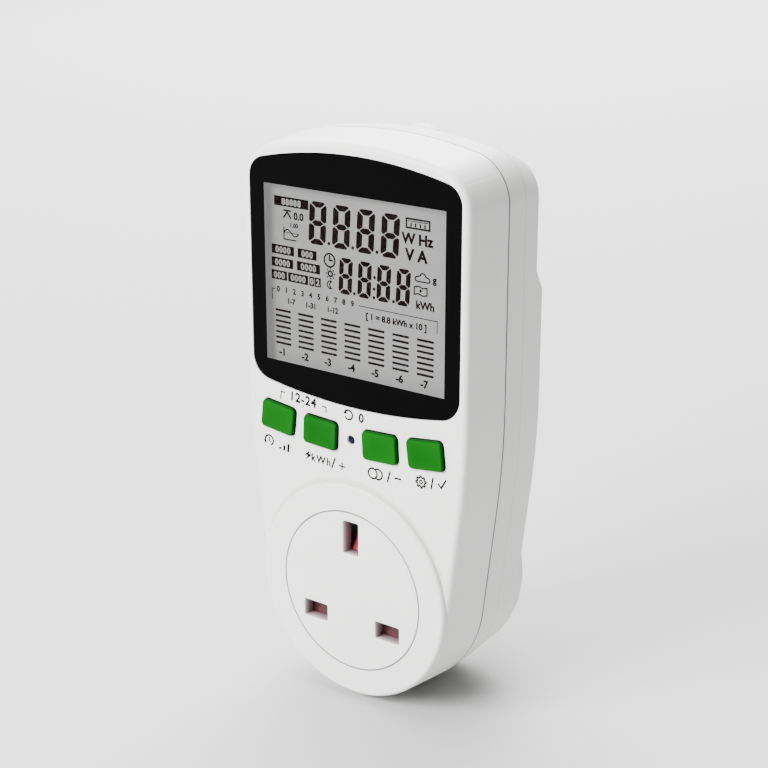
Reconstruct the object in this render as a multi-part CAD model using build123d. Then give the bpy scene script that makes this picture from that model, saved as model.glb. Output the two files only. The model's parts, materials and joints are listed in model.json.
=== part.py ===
from build123d import *
import os
from math import acos, asin, atan2, cos, degrees, hypot, pi, sin, sqrt

# Plug-in energy monitor: a slim case with a three-pin plug behind, a shuttered
# three-pin socket in front and a display with four keys above the socket.
# Millimetres. +Z is up, the front looks along -Y and the plug pins point along +Y.
# The origin is the middle of the round plug boss, on the face that meets the wall.

os.makedirs("parts", exist_ok=True)

# Standard three-pin plug and socket
line_spacing = 22.23
earth_spacing = 22.23
line_row_drop = 8.35
line_pin_width = 6.35
line_pin_thickness = 3.97
line_pin_length = 17.7
earth_pin_width = 3.97
earth_pin_height = 7.94
earth_pin_length = 22.73
sleeve_length = 9.5
sleeve_thickness = 0.45
pin_tip_chamfer = 0.7

# Case, from the wall to the front
boss_rise = 3.0
block_rise = 3.0
facet_depth = 6.2
band_depth = 7.2
front_depth = 14.4
ring_rise = 1.2

# Case outline: the round foot is set by the socket, the flare widens the case above it,
# and the brow is the case above the window
foot_border = 8.35
case_flare = 4.9
case_brow = 4.2
case_top_radius = 118.0
case_corner_radius = 11.5
case_bend_rise = 22.24
case_bend_radius = 220.0
front_draw_in = 1.15
front_top_draw_in = 1.4
ridge_draw_in = 0.15
rear_draw_in = 0.95
rear_top_draw_in = 2.4
rear_top_radius = 88.0
rear_corner_radius = 8.8
block_top_rise = 46.55
block_slope = 4.8

# Walls and joints of the case
front_wall = 2.4
side_wall = 2.0
rear_wall = 2.0
pin_wall = 3.0
front_edge_radius = 1.5
ring_edge_radius = 1.0
rear_edge_radius = 0.7
seam_width = 0.4
seam_depth = 0.6
lip_height = 1.6
lip_thickness = 0.9
lip_clearance = 0.15
overrun = 1.0
seat_gap = 0.1

# Display
window_rim = 3.05
window_brow = 9.2
window_key_gap = 8.25
window_top_radius = 118.0
window_bottom_radius = 150.0
window_corner_radius = 5.0
window_foot_radius = 6.0
window_thickness = 1.5
window_gap = 0.12
view_border = 4.2
view_sill = 7.65
view_height = 43.75
view_margin = 2.1
glass_side_margin = 2.45
glass_contact_margin = 2.6
glass_thickness = 2.6
frame_wall = 1.0
frame_corner_radius = 2.4
frame_gap = 0.15
strip_height = 4.0
strip_width = 1.6
strip_inset = 0.3
diffuser_thickness = 1.6
diffuser_gap = 0.3

# Keys
key_side_margin = 11.6
key_inner_share = 0.4045
key_width_share = 0.458
key_height = 7.35
key_corner_radius = 1.25
key_rise = 1.15
key_edge_radius = 0.5
key_gap = 0.2
key_row_x = -0.5
key_row_rise = 10.1
key_arc_radius = 188.0
key_flange = 0.8
key_flange_thickness = 1.0
key_stem_width = 5.0
key_stem_height = 3.2
key_travel = 0.8
key_running_gap = 0.1
membrane_thickness = 0.8
membrane_margin = 1.6
dome_radius = 2.9
dome_crown_radius = 1.9
reset_hole_radius = 1.2
reset_pin_radius = 1.1
reset_recess = 0.3
reset_travel = 0.4
switch_size = 6.0
switch_height = 3.5
switch_bore_radius = 1.7

# Socket
insert_border = 2.46
insert_gap = 0.15
insert_thickness = 2.7
slot_depth = 3.3
slot_wall = 0.8
slot_edge_radius = 0.4
insert_lip = 2.6
rim_thickness = 1.3
shelf_thickness = 0.8
chamber_gap = 0.3
line_slot_width = 7.2
line_slot_height = 4.5
earth_slot_width = 4.6
earth_slot_height = 8.6
slot_corner_radius = 0.35
shutter_thickness = 1.5
shutter_gap = 0.15
shutter_travel = 4.2
shutter_cover = 0.3
shutter_short = 0.3
shutter_web_half_width = 4.6
wedge_width = 4.2
wedge_rise = 4.4
wedge_run = 2.8
wedge_depth = 5.9
spring_radius = 1.7
spring_wire = 0.45
spring_turns = 7
spring_seat_thickness = 1.4
spring_length = 9.0
post_inset = 5.1
post_z = 7.0
post_radius = 2.4
housing_flange_thickness = 2.0
housing_wall = 1.0
housing_gap = 0.3
ear_x = 13.0
ear_rise = 2.2
ear_radius = 2.9
contact_thickness = 0.7
contact_grip = 0.1
contact_front_gap = 0.8
contact_height = 3.6
pin_end_gap = 0.3

# Plug pins inside the case
pin_flange_margin = 1.3
pin_flange_thickness = 1.2
pin_hole_gap = 0.1
tail_width = 5.0
tail_thickness = 2.6
retainer_inset = 0.6
retainer_cover = 2.2
retainer_screw_x = 13.0
retainer_screw_z = 8.0
shunt_thickness = 0.8
shunt_width = 5.0
shunt_rise = 6.0
shunt_gap = 4.6

# Boards and what they carry
board_thickness = 1.6
board_gap = 0.5
main_board_foot_gap = 1.85
main_board_top_gap = 8.3
main_screw_margin = 6.85
main_screw_inset = 2.2
power_board_margin = 6.85
power_board_foot_gap = 4.05
power_board_top_gap = 12.1
power_board_clearance = 1.6
power_screw_inset = 3.2
power_screw_side_inset = 3.0
capacitor_width = 18.0
capacitor_height = 11.5
capacitor_depth = 7.0
capacitor_edge_radius = 0.8
capacitor_x = -12.0
capacitor_gap = 1.25
varistor_radius = 5.0
varistor_thickness = 4.0
varistor_x = 13.0
varistor_gap = 1.0
smoothing_radius = 4.0
smoothing_length = 11.0
smoothing_x = 13.5
smoothing_gap = 4.5
battery_radius = 4.6
battery_length = 17.0
battery_x = -11.0
battery_gap = 8.8
resistor_radius = 1.6
resistor_length = 8.5
resistor_x = -15.0
resistor_gap = 3.65
resistor_pitch = 5.0
resistor_count = 3
chip_length = 10.2
chip_width = 7.4
chip_height = 2.0
chip_lead = 1.2
chip_pin_count = 8
meter_chip_x = 10.0
meter_chip_gap = 0.6
processor_size = 12.0
processor_height = 1.6
processor_x = -9.0
processor_rise = 49.2
crystal_length = 11.0
crystal_width = 4.4
crystal_height = 3.2
crystal_x = 12.0
crystal_rise = 61.2
link_length = 20.4
link_width = 4.6
link_x = 8.0
link_gap = 1.2
terminal_length = 20.0
terminal_height = 8.0
terminal_depth = 6.4
wire_radius = 0.95
wire_margin = 2.0

# Shares of a size, for small edges, leads and bends
screw_round_share = 0.33
screw_slot_share = 1.2
plunger_round_share = 0.33
varistor_round_share = 0.25
can_round_share = 0.17
chip_edge_share = 0.2
chip_foot_share = 0.33
crystal_end_share = 0.98
crystal_round_share = 0.125
lead_leave_share = 0.3
lead_arrive_share = 0.72
lead_bend_share = 0.25

# Screws
screw_radius = 1.3
screw_core_radius = 1.05
screw_head_radius = 2.3
screw_head_height = 1.7
screw_slot_width = 0.8
screw_slot_depth = 0.9
screw_bite = 7.0
screw_tower_radius = 4.0
screw_boss_radius = 2.3
screw_boss_gap = 0.3
case_screw_high_x = 14.0
case_screw_side_margin = 9.25
case_screw_foot_inset = 1.95
small_screw_radius = 0.95
small_core_radius = 0.75
small_head_radius = 1.7
small_head_height = 1.2
small_screw_length = 4.6
small_boss_radius = 2.2
hole_clearance = 0.15

# Marks moulded into the back of the case
lug_half_width = 4.1
lug_height = 6.0
lug_drop = 0.6
lug_arch_radius = 8.0
lug_stand = 1.4
lug_edge_radius = 0.4
label_width = 40.0
label_height = 26.0
label_depth = 0.3
label_corner_radius = 2.0

# Depths along Y, worked out from the stack above
seat_y = 0
block_y = seat_y - boss_rise
rear_y = block_y - block_rise
ridge_y = rear_y - facet_depth
seam_y = ridge_y - band_depth
face_y = seam_y - front_depth
ring_y = face_y - ring_rise
inner_y = face_y + front_wall
ring_inner_y = ring_y + front_wall
window_y = face_y + window_thickness
glass_y = inner_y + seat_gap
glass_back_y = glass_y + glass_thickness
board_y = glass_back_y + strip_height
board_back_y = board_y + board_thickness
power_back_y = rear_y - rear_wall - power_board_clearance
power_y = power_back_y - board_thickness
flange_y = inner_y + key_running_gap
flange_back_y = flange_y + key_flange_thickness
membrane_y = board_y - membrane_thickness
insert_back_y = ring_y + insert_thickness
shutter_y = ring_y + slot_depth + shutter_gap
chamber_y = shutter_y + wedge_depth + chamber_gap
housing_back_y = chamber_y + housing_flange_thickness
line_reach_y = ring_y + line_pin_length + pin_end_gap
earth_reach_y = ring_y + earth_pin_length + pin_end_gap
contact_y = chamber_y + contact_front_gap
pin_wall_y = seat_y - pin_wall

# Socket, worked out from the pins: the insert reaches past the outermost aperture
line_z = -line_row_drop
earth_z = earth_spacing - line_row_drop
line_x = line_spacing / 2
line_slot_reach = hypot(line_x + line_slot_width / 2, line_row_drop + line_slot_height / 2)
earth_slot_reach = earth_z + earth_slot_height / 2
insert_radius = max(line_slot_reach, earth_slot_reach) + insert_border
post_x = insert_radius - post_inset
retainer_radius = insert_radius - retainer_inset

# Widths and heights of the case, worked out from the socket upwards
case_foot_radius = insert_radius + foot_border
case_half_width = case_foot_radius + case_flare
case_bend_height = case_foot_radius + case_bend_rise
window_half_width = case_half_width - window_rim
view_width = 2 * (window_half_width - view_border)
key_outer_x = case_half_width - key_side_margin
key_inner_x = key_outer_x * key_inner_share
key_width = key_outer_x * key_width_share
key_row_middle = case_foot_radius + key_row_rise
window_bottom = key_row_middle + window_key_gap
view_low = window_bottom + view_sill
view_high = view_low + view_height
view_middle = (view_low + view_high) / 2
window_top = view_high + window_brow
case_top = window_top + case_brow
block_top = case_foot_radius + block_top_rise
lug_top = case_top - lug_drop

# Boards and what they carry, placed from the case
main_board_bottom = case_foot_radius + main_board_foot_gap
main_board_top = case_top - main_board_top_gap
main_screw_x = case_half_width - main_screw_margin
main_screw_low = main_board_bottom + main_screw_inset
power_board_half_width = case_half_width - power_board_margin
power_board_bottom = case_foot_radius + power_board_foot_gap
power_board_top = case_top - power_board_top_gap
power_screw_x = power_board_half_width - power_screw_side_inset
terminal_high = power_board_bottom + terminal_height
capacitor_z = terminal_high + capacitor_gap + capacitor_height / 2
resistor_z = capacitor_z + capacitor_height / 2 + resistor_gap + resistor_radius
resistor_high = resistor_z + (resistor_count - 1) * resistor_pitch + resistor_radius
battery_z = resistor_high + battery_gap + battery_radius
varistor_z = terminal_high + varistor_gap + varistor_radius
smoothing_z = varistor_z + varistor_radius + smoothing_gap + smoothing_radius
link_z = smoothing_z + smoothing_radius + link_gap + link_width / 2
meter_chip_z = link_z + link_width / 2 + meter_chip_gap + chip_length / 2
processor_z = main_board_bottom + processor_rise
crystal_z = main_board_bottom + crystal_rise
case_screw_low_x = case_half_width - case_screw_side_margin
case_screw_low_z = case_foot_radius - case_screw_foot_inset
glass_low = view_low - glass_contact_margin
glass_high = view_high + glass_contact_margin
frame_low = glass_low - frame_gap - frame_wall
frame_high = glass_high + frame_gap + frame_wall
frame_half_width = view_width / 2 + glass_side_margin + frame_gap + frame_wall
case_screw_high_z = frame_high + screw_boss_radius + screw_boss_gap


def at_depth(depth):
    """Sketching plane that faces the front at one depth: its x is X, its y is Z."""
    return Plane(origin=(0, depth, 0), x_dir=(1, 0, 0), z_dir=(0, -1, 0))


def slab(shape, front, back):
    """A flat shape made solid from its front depth to its back depth."""
    return extrude(at_depth(back) * shape, amount=back - front)


def arc(centre, radius, start, end):
    """Arc by its centre and its start and end angles in radians."""
    middle = (start + end) / 2
    places = [(centre[0] + radius * cos(a), centre[1] + radius * sin(a)) for a in (start, middle, end)]
    return ThreePointArc(*places)


def side_lean(side, foot, bend):
    """Angle from upright of the straight side between the foot's circle and the bend."""
    reach = bend - side
    return atan2(case_bend_height, reach) - acos((bend - foot) / hypot(reach, case_bend_height))


def case_outline(
    draw_in=0, top_draw_in=None, wall=0, top_radius=case_top_radius, corner_radius=case_corner_radius
):
    """Front view of the case: arched top, round corners, leaning sides and a round foot."""
    top_draw = draw_in if top_draw_in is None else top_draw_in
    side = case_half_width - draw_in - wall
    top = case_top - top_draw - wall
    foot = case_foot_radius - draw_in - wall
    crown = top_radius - wall
    corner = corner_radius - draw_in - wall
    bend = case_bend_radius - wall
    lean = side_lean(side, foot, bend)
    crown_z = top - crown
    corner_x = side - corner
    corner_z = crown_z + sqrt((crown - corner) ** 2 - corner_x ** 2)
    turn = atan2(corner_z - crown_z, corner_x)
    foot_start = (foot * cos(lean), -foot * sin(lean))
    bend_start = (side - bend + bend * cos(lean), case_bend_height - bend * sin(lean))
    right = [
        Line(foot_start, bend_start),
        arc((side - bend, case_bend_height), bend, -lean, 0),
        Line((side, case_bend_height), (side, corner_z)),
        arc((corner_x, corner_z), corner, 0, turn),
    ]
    left = [mirror(piece, about=Plane.YZ) for piece in right]
    crown_arc = arc((0, crown_z), crown, turn, pi - turn)
    foot_arc = arc((0, 0), foot, pi + lean, 2 * pi - lean)
    return make_face([*right, crown_arc, *left, foot_arc])


def face_outline(wall=0):
    """Case outline at the front face."""
    return case_outline(front_draw_in, front_top_draw_in, wall)


def back_outline(wall=0):
    """Case outline at the back face, with a rounder top and tighter corners."""
    return case_outline(rear_draw_in, rear_top_draw_in, wall, rear_top_radius, rear_corner_radius)


def window_outline(inset=0):
    """Front view of the display window: arched above and below, with round corners."""
    side = window_half_width - inset
    crown = window_top_radius - inset
    crown_z = window_top - window_top_radius
    keel = window_bottom_radius - inset
    keel_z = window_bottom + window_bottom_radius
    upper = window_corner_radius - inset
    lower = window_foot_radius - inset
    upper_z = crown_z + sqrt((crown - upper) ** 2 - (side - upper) ** 2)
    lower_z = keel_z - sqrt((keel - lower) ** 2 - (side - lower) ** 2)
    upper_turn = atan2(upper_z - crown_z, side - upper)
    lower_turn = atan2(lower_z - keel_z, side - lower)
    right = [
        arc((side - lower, lower_z), lower, lower_turn, 0),
        Line((side, lower_z), (side, upper_z)),
        arc((side - upper, upper_z), upper, 0, upper_turn),
    ]
    left = [mirror(piece, about=Plane.YZ) for piece in right]
    crown_arc = arc((0, crown_z), crown, upper_turn, pi - upper_turn)
    keel_arc = arc((0, keel_z), keel, -pi - lower_turn, lower_turn)
    return make_face([*right, crown_arc, *left, keel_arc])


def disc(radius, x=0, z=0):
    return Pos(x, z) * Circle(radius)


def plate(width, height, x=0, z=0, corner=0):
    if corner:
        return Pos(x, z) * RectangleRounded(width, height, corner)
    return Pos(x, z) * Rectangle(width, height)


def post(radius, x, z, front, back):
    """Round post or hole along Y."""
    return slab(disc(radius, x, z), front, back)


def box_between(x0, x1, front, back, z0, z1):
    return slab(plate(x1 - x0, z1 - z0, (x0 + x1) / 2, (z0 + z1) / 2), front, back)


def both_sides(x, z):
    return [(-x, z), (x, z)]


def key_places():
    """Middle and tilt of each key, on an arc that follows the window's lower edge."""
    places = []
    for x in (-key_outer_x, -key_inner_x, key_inner_x, key_outer_x):
        sag = key_arc_radius - sqrt(key_arc_radius ** 2 - x ** 2)
        places.append((key_row_x + x, key_row_middle + sag, degrees(asin(x / key_arc_radius))))
    return places


def key_plate(place, grow=0):
    """Rounded key outline at its place, grown all round."""
    x, z, tilt = place
    width = key_width + 2 * grow
    height = key_height + 2 * grow
    return Pos(x, z) * Rot(0, 0, tilt) * RectangleRounded(width, height, key_corner_radius + max(grow, 0))


def tapped_screw(shank, head, head_height, length, slotted=True):
    """Pan-head screw pointing along -Y from the origin, its head behind the origin."""
    body = post(shank, 0, 0, -length, 0)
    cap = slab(disc(head), 0, head_height)
    cap = fillet(cap.edges().sort_by(Axis.Y)[-1], head_height * screw_round_share)
    screw = body + cap
    if slotted:
        size = head / screw_head_radius
        for turn in (0, 90):
            bar = Rot(0, 0, turn) * Rectangle(head * screw_slot_share, screw_slot_width * size)
            screw -= slab(bar, head_height - screw_slot_depth * size, head_height + overrun)
    return screw


def back_screw(length):
    return tapped_screw(screw_core_radius, screw_head_radius, screw_head_height, length)


def small_screw(length):
    return tapped_screw(small_core_radius, small_head_radius, small_head_height, length)


def case_screw_places():
    return both_sides(case_screw_high_x, case_screw_high_z) + both_sides(case_screw_low_x, case_screw_low_z)


def main_screw_places():
    return both_sides(main_screw_x, main_screw_low)


def power_screw_places():
    low = both_sides(power_screw_x, power_board_bottom + power_screw_inset)
    high = both_sides(power_screw_x, power_board_top - power_screw_inset)
    return low + high


def ear_places():
    ear_z = case_foot_radius - front_draw_in - ear_rise + ear_radius / 2
    return both_sides(ear_x, ear_z)


def post_places():
    return both_sides(post_x, post_z)


def retainer_screw_places():
    return both_sides(retainer_screw_x, retainer_screw_z)


def slot_plates(grow=0):
    """The three socket apertures: earth above, the two line ways below."""
    corner = slot_corner_radius + grow
    line = RectangleRounded(line_slot_width + 2 * grow, line_slot_height + 2 * grow, corner)
    earth = RectangleRounded(earth_slot_width + 2 * grow, earth_slot_height + 2 * grow, corner)
    return [Pos(-line_x, line_z) * line, Pos(line_x, line_z) * line, Pos(0, earth_z) * earth]


def front_outer():
    """Solid the size of the front shell, with its soft front edge."""
    face = at_depth(face_y) * face_outline()
    seam = at_depth(seam_y) * case_outline()
    solid = loft([face, seam], ruled=True)
    front = solid.faces().sort_by(Axis.Y)[0]
    return fillet(front.edges(), front_edge_radius)


def rear_outer():
    """Solid the size of the rear shell: side band, drawn-in facet, block and plug boss."""
    seam = at_depth(seam_y) * case_outline()
    ridge = at_depth(ridge_y) * case_outline(ridge_draw_in)
    back = at_depth(block_y) * back_outline()
    solid = loft([seam, ridge], ruled=True) + loft([ridge, back], ruled=True)
    step = step_cut(rear_y, block_y, block_top, block_slope)
    solid -= step
    return solid


def step_cut(upper, lower, low_z, slope):
    """Space above the block: its ramp falls from the upper face down to the block's face."""
    run = case_half_width + overrun
    high_z = case_top + overrun
    with BuildSketch(Plane.YZ) as profile:
        with BuildLine():
            Polyline(
                (upper, low_z + slope),
                (lower, low_z),
                (lower + overrun, low_z),
                (lower + overrun, high_z),
                (upper, high_z),
                close=True,
            )
        make_face()
    return extrude(profile.sketch, amount=run, both=True)


def seam_groove():
    """Shallow groove round the parting line."""
    band = case_outline() - case_outline(seam_depth)
    grown = case_outline(-overrun) - case_outline()
    return slab(band + grown, seam_y - seam_width / 2, seam_y + seam_width / 2)


def make_front_shell():
    outer = front_outer()
    ring_radius = case_foot_radius - front_draw_in
    ring = slab(disc(ring_radius), ring_y, inner_y)
    ring_edge = ring.edges().filter_by(GeomType.CIRCLE).sort_by(Axis.Y)[0]
    shell = outer + fillet(ring_edge, ring_edge_radius)
    cavity = loft(
        [
            at_depth(inner_y) * face_outline(side_wall),
            at_depth(seam_y + overrun) * case_outline(0, 0, side_wall),
        ],
        ruled=True,
    )
    cavity += slab(disc(ring_radius - side_wall), ring_inner_y, inner_y)
    rebate = slab(
        case_outline(wall=side_wall - lip_thickness - lip_clearance),
        seam_y - lip_height - lip_clearance,
        seam_y + overrun,
    )
    shell -= cavity
    shell -= rebate
    bosses = [post(screw_boss_radius, x, z, inner_y, seam_y) for x, z in case_screw_places()]
    bosses += [post(small_boss_radius, x, z, inner_y, board_y) for x, z in main_screw_places()]
    bosses += [post(small_boss_radius, x, z, inner_y, chamber_y) for x, z in ear_places()]
    for boss in bosses:
        shell += boss & outer
    shell -= slab(disc(insert_radius + insert_gap), ring_y - overrun, inner_y)
    shell -= slab(window_outline(-window_gap), face_y - overrun, window_y)
    opening = plate(view_width + 2 * view_margin, view_height + 2 * view_margin, 0, view_middle, view_margin)
    shell -= slab(opening, face_y - overrun, inner_y + overrun)
    for place in key_places():
        shell -= slab(key_plate(place, key_gap), face_y - overrun, inner_y + overrun)
    shell -= post(reset_hole_radius, key_row_x, key_row_middle, face_y - overrun, inner_y + overrun)
    for x, z in case_screw_places():
        shell -= post(screw_core_radius, x, z, seam_y - screw_bite - overrun, seam_y + overrun)
    for x, z in main_screw_places():
        shell -= post(small_core_radius, x, z, board_y - small_screw_length, board_y + overrun)
    for x, z in ear_places():
        shell -= post(small_core_radius, x, z, housing_back_y - small_screw_length, chamber_y + overrun)
    shell -= seam_groove()
    return shell


def tower_back(z):
    """Depth of the case's outer back face at one height."""
    return rear_y if z > block_top else block_y


def make_rear_shell():
    outer = rear_outer()
    boss_radius = case_foot_radius - rear_draw_in
    boss = slab(disc(boss_radius), block_y - rear_wall, seat_y)
    boss_edge = boss.edges().filter_by(GeomType.CIRCLE).sort_by(Axis.Y)[-1]
    outer += fillet(boss_edge, rear_edge_radius)
    outer += make_lug()
    cavity = loft(
        [
            at_depth(seam_y - overrun) * case_outline(0, 0, side_wall),
            at_depth(ridge_y) * case_outline(ridge_draw_in, ridge_draw_in, side_wall),
        ],
        ruled=True,
    )
    cavity += loft(
        [
            at_depth(ridge_y) * case_outline(ridge_draw_in, ridge_draw_in, side_wall),
            at_depth(block_y - rear_wall) * back_outline(side_wall),
        ],
        ruled=True,
    )
    cavity -= step_cut(rear_y - rear_wall, block_y - rear_wall, block_top - rear_wall, block_slope)
    cavity += slab(disc(boss_radius - side_wall), block_y - rear_wall - overrun, pin_wall_y)
    shell = outer - cavity
    lip = case_outline(wall=side_wall - lip_thickness) - case_outline(wall=side_wall)
    shell += slab(lip, seam_y - lip_height, seam_y + lip_height)
    for x, z in case_screw_places():
        tower = post(screw_tower_radius, x, z, seam_y, tower_back(z))
        shell += tower & outer
    for x, z in power_screw_places():
        stand = post(small_boss_radius, x, z, power_back_y, tower_back(z))
        shell += stand & outer
    for x, z in case_screw_places():
        head_y = tower_back(z) - screw_head_height - board_gap
        shell -= post(screw_head_radius + hole_clearance, x, z, head_y, seat_y)
        shell -= post(screw_radius + hole_clearance, x, z, seam_y - overrun, seat_y)
    for x, z in power_screw_places():
        shell -= post(small_core_radius, x, z, power_y - overrun, power_y + small_screw_length)
    for x, z in retainer_screw_places():
        shell -= post(small_core_radius, x, z, pin_wall_y - overrun, retainer_y() + small_screw_length)
    for section in pin_sections(pin_hole_gap):
        shell -= slab(section, pin_wall_y - overrun, seat_y + overrun)
    label = plate(label_width, label_height, 0, (case_foot_radius + block_top) / 2, label_corner_radius)
    shell -= slab(label, block_y - label_depth, block_y + overrun)
    shell -= seam_groove()
    return shell


def make_lug():
    """Small lug with an arched top that stands off the upper back face."""
    low = lug_top - lug_height
    shape = plate(2 * lug_half_width, lug_height, 0, (lug_top + low) / 2)
    shape &= disc(lug_arch_radius, 0, lug_top - lug_arch_radius)
    solid = slab(shape, rear_y - rear_wall, rear_y + lug_stand)
    back = solid.faces().sort_by(Axis.Y)[-1]
    return fillet(back.edges(), lug_edge_radius)


def make_window():
    solid = slab(window_outline(), face_y, window_y)
    front = solid.faces().sort_by(Axis.Y)[0]
    return fillet(front.edges(), window_gap * 2)


def make_glass():
    width = view_width + 2 * glass_side_margin
    return slab(plate(width, glass_high - glass_low, 0, view_middle), glass_y, glass_back_y)


def make_display_frame():
    """Plastic frame that holds the glass and the contact strips square to the board."""
    width = 2 * frame_half_width
    height = frame_high - frame_low
    outer = slab(plate(width, height, 0, view_middle, frame_corner_radius), glass_y, board_y)
    hollow_width = width - 2 * frame_wall
    hollow = plate(hollow_width, height - 2 * frame_wall, 0, view_middle)
    outer -= slab(hollow, glass_y - overrun, board_y + overrun)
    bar_low = glass_low + strip_width + 2 * strip_inset
    bar_high = glass_high - strip_width - 2 * strip_inset
    for low, high in ((bar_low, bar_low + frame_wall), (bar_high - frame_wall, bar_high)):
        outer += box_between(
            -hollow_width / 2, hollow_width / 2, glass_back_y + seat_gap, board_y, low, high
        )
    return outer & slab(plate(width, height, 0, view_middle), glass_y, board_y)


def make_diffuser():
    """Light plate behind the glass, between the two bars of the frame."""
    low = glass_low + strip_width + 2 * strip_inset + frame_wall + diffuser_gap
    high = glass_high - strip_width - 2 * strip_inset - frame_wall - diffuser_gap
    width = 2 * (frame_half_width - frame_wall - diffuser_gap)
    return slab(plate(width, high - low, 0, view_middle), glass_back_y, glass_back_y + diffuser_thickness)


def make_contact_strips():
    """Two elastomer strips that join the glass's edge contacts to the board."""
    width = view_width - 2 * strip_inset
    strips = []
    for z in (glass_low + strip_inset + strip_width / 2, glass_high - strip_inset - strip_width / 2):
        strips.append(slab(plate(width, strip_width, 0, z), glass_back_y, board_y))
    return Compound(children=strips)


def main_board_outline():
    middle = (main_board_top + main_board_bottom) / 2
    upper = plate(2 * case_half_width, main_board_top - main_board_bottom, 0, middle)
    board = face_outline(side_wall + board_gap) & upper
    for x, z in case_screw_places():
        board -= disc(screw_boss_radius + board_gap, x, z)
    return board


def make_main_board():
    board = main_board_outline()
    for x, z in main_screw_places():
        board -= disc(small_screw_radius + hole_clearance, x, z)
    return slab(board, board_y, board_back_y)


def make_key(place):
    x, z, tilt = place
    cap = slab(key_plate(place), face_y - key_rise, flange_y)
    top = cap.faces().sort_by(Axis.Y)[0]
    cap = fillet(top.edges(), key_edge_radius)
    cap += slab(key_plate(place, key_flange), flange_y, flange_back_y)
    stem = Pos(x, z) * Rot(0, 0, tilt) * Rectangle(key_stem_width, key_stem_height)
    return cap + slab(stem, flange_back_y, stem_foot_y())


def stem_foot_y():
    return (flange_back_y + membrane_y) / 2


def dome_top_y():
    """Depth of the domes' crowns, just past the key stems' full travel."""
    return stem_foot_y() + key_travel + key_running_gap / 2


def make_keypad():
    """Rubber sheet on the board with one dome under each key."""
    reach = key_outer_x + key_width / 2
    middle = key_places()[0][1] / 2 + key_places()[1][1] / 2
    height = key_height + membrane_margin
    window = switch_size / 2 + 2 * board_gap
    sheet = plate(2 * reach, height, key_row_x, middle, membrane_thickness)
    sheet -= plate(2 * window, height, key_row_x, key_row_middle + window - height / 2)
    keypad = slab(sheet, membrane_y, board_y)
    for x, z, tilt in key_places():
        base = at_depth(membrane_y) * disc(dome_radius, x, z)
        crown = at_depth(dome_top_y()) * disc(dome_crown_radius, x, z)
        keypad += loft([base, crown], ruled=True)
    return keypad


def make_reset_switch():
    """Low push switch on the board, bored for its own plunger."""
    square = plate(switch_size, switch_size, key_row_x, key_row_middle, slot_corner_radius)
    body = slab(square, switch_y(), board_y)
    bore_back = plunger_foot_y() + reset_travel + key_running_gap
    return body - post(switch_bore_radius, key_row_x, key_row_middle, switch_y() - overrun, bore_back)


def switch_y():
    return board_y - switch_height


def plunger_foot_y():
    return switch_y() + switch_height / 2


def make_reset_plunger():
    shoulder_y = switch_y() - board_gap
    pin = post(reset_pin_radius, key_row_x, key_row_middle, face_y + reset_recess, shoulder_y)
    tip = pin.edges().filter_by(GeomType.CIRCLE).sort_by(Axis.Y)[0]
    pin = fillet(tip, reset_pin_radius * plunger_round_share)
    return pin + post(switch_bore_radius - key_gap, key_row_x, key_row_middle, shoulder_y, plunger_foot_y())


def make_insert():
    """Round front plate of the socket with its apertures, rim and screw posts."""
    face = slab(disc(insert_radius), ring_y, insert_back_y)
    for opening in slot_plates():
        face -= slab(opening, ring_y - overrun, insert_back_y + overrun)
    front = face.faces().sort_by(Axis.Y)[0]
    mouths = [edge for wire in front.inner_wires() for edge in wire.edges()]
    face = fillet(mouths, slot_edge_radius)
    rim_radius = insert_radius + insert_lip
    bowl_radius = rim_radius - rim_thickness
    back = slab(disc(rim_radius) - disc(bowl_radius), ring_inner_y + seat_gap, chamber_y)
    shelf_y = ring_inner_y + seat_gap
    back += slab(disc(rim_radius) - disc(insert_radius - slot_wall), shelf_y, shelf_y + shelf_thickness)
    for collar in slot_plates(slot_wall):
        back += slab(collar, insert_back_y - slot_wall, ring_y + slot_depth)
    for x, z in post_places():
        back += post(post_radius, x, z, insert_back_y - slot_wall, chamber_y)
    seat = plate(4 * spring_radius, spring_seat_thickness, 0, spring_low_z() - spring_seat_thickness / 2)
    back += slab(seat, insert_back_y, chamber_y) & slab(disc(rim_radius), ring_y, chamber_y)
    for opening in slot_plates():
        back -= slab(opening, ring_y - overrun, chamber_y)
    for x, z in post_places():
        back -= post(small_core_radius, x, z, housing_back_y - small_screw_length, chamber_y + overrun)
    return face + back


def pad_low_z():
    return line_z - line_slot_height / 2 - shutter_cover


def spring_top_z():
    return pad_low_z()


def spring_low_z():
    return spring_top_z() - spring_length


def make_shutter():
    """Sliding shutter: two pads over the line ways and a wedge in the earth way."""
    earth_low = earth_z - earth_slot_height / 2
    pad_high = line_z + line_slot_height / 2 - shutter_short
    pad_reach = line_x + line_slot_width / 2 + shutter_cover
    web = plate(2 * shutter_web_half_width, earth_low - pad_low_z(), 0, (earth_low + pad_low_z()) / 2)
    bar = plate(2 * pad_reach, pad_high - pad_low_z(), 0, (pad_high + pad_low_z()) / 2, slot_corner_radius)
    shutter = slab(web + bar, shutter_y, shutter_y + shutter_thickness)
    with BuildSketch(Plane.YZ) as profile:
        with BuildLine():
            Polyline(
                (shutter_y, earth_low - shutter_thickness),
                (shutter_y, earth_low),
                (shutter_y + wedge_run, earth_low + wedge_rise),
                (shutter_y + wedge_depth, earth_low + wedge_rise),
                (shutter_y + wedge_depth, earth_low - shutter_thickness),
                close=True,
            )
        make_face()
    shutter += extrude(profile.sketch, amount=wedge_width / 2, both=True)
    knob_y = spring_y()
    knob = box_between(
        -spring_radius, spring_radius, shutter_y, knob_y + spring_radius, pad_low_z(), pad_high
    )
    return shutter + knob


def spring_y():
    return shutter_y + spring_radius + spring_wire


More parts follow.
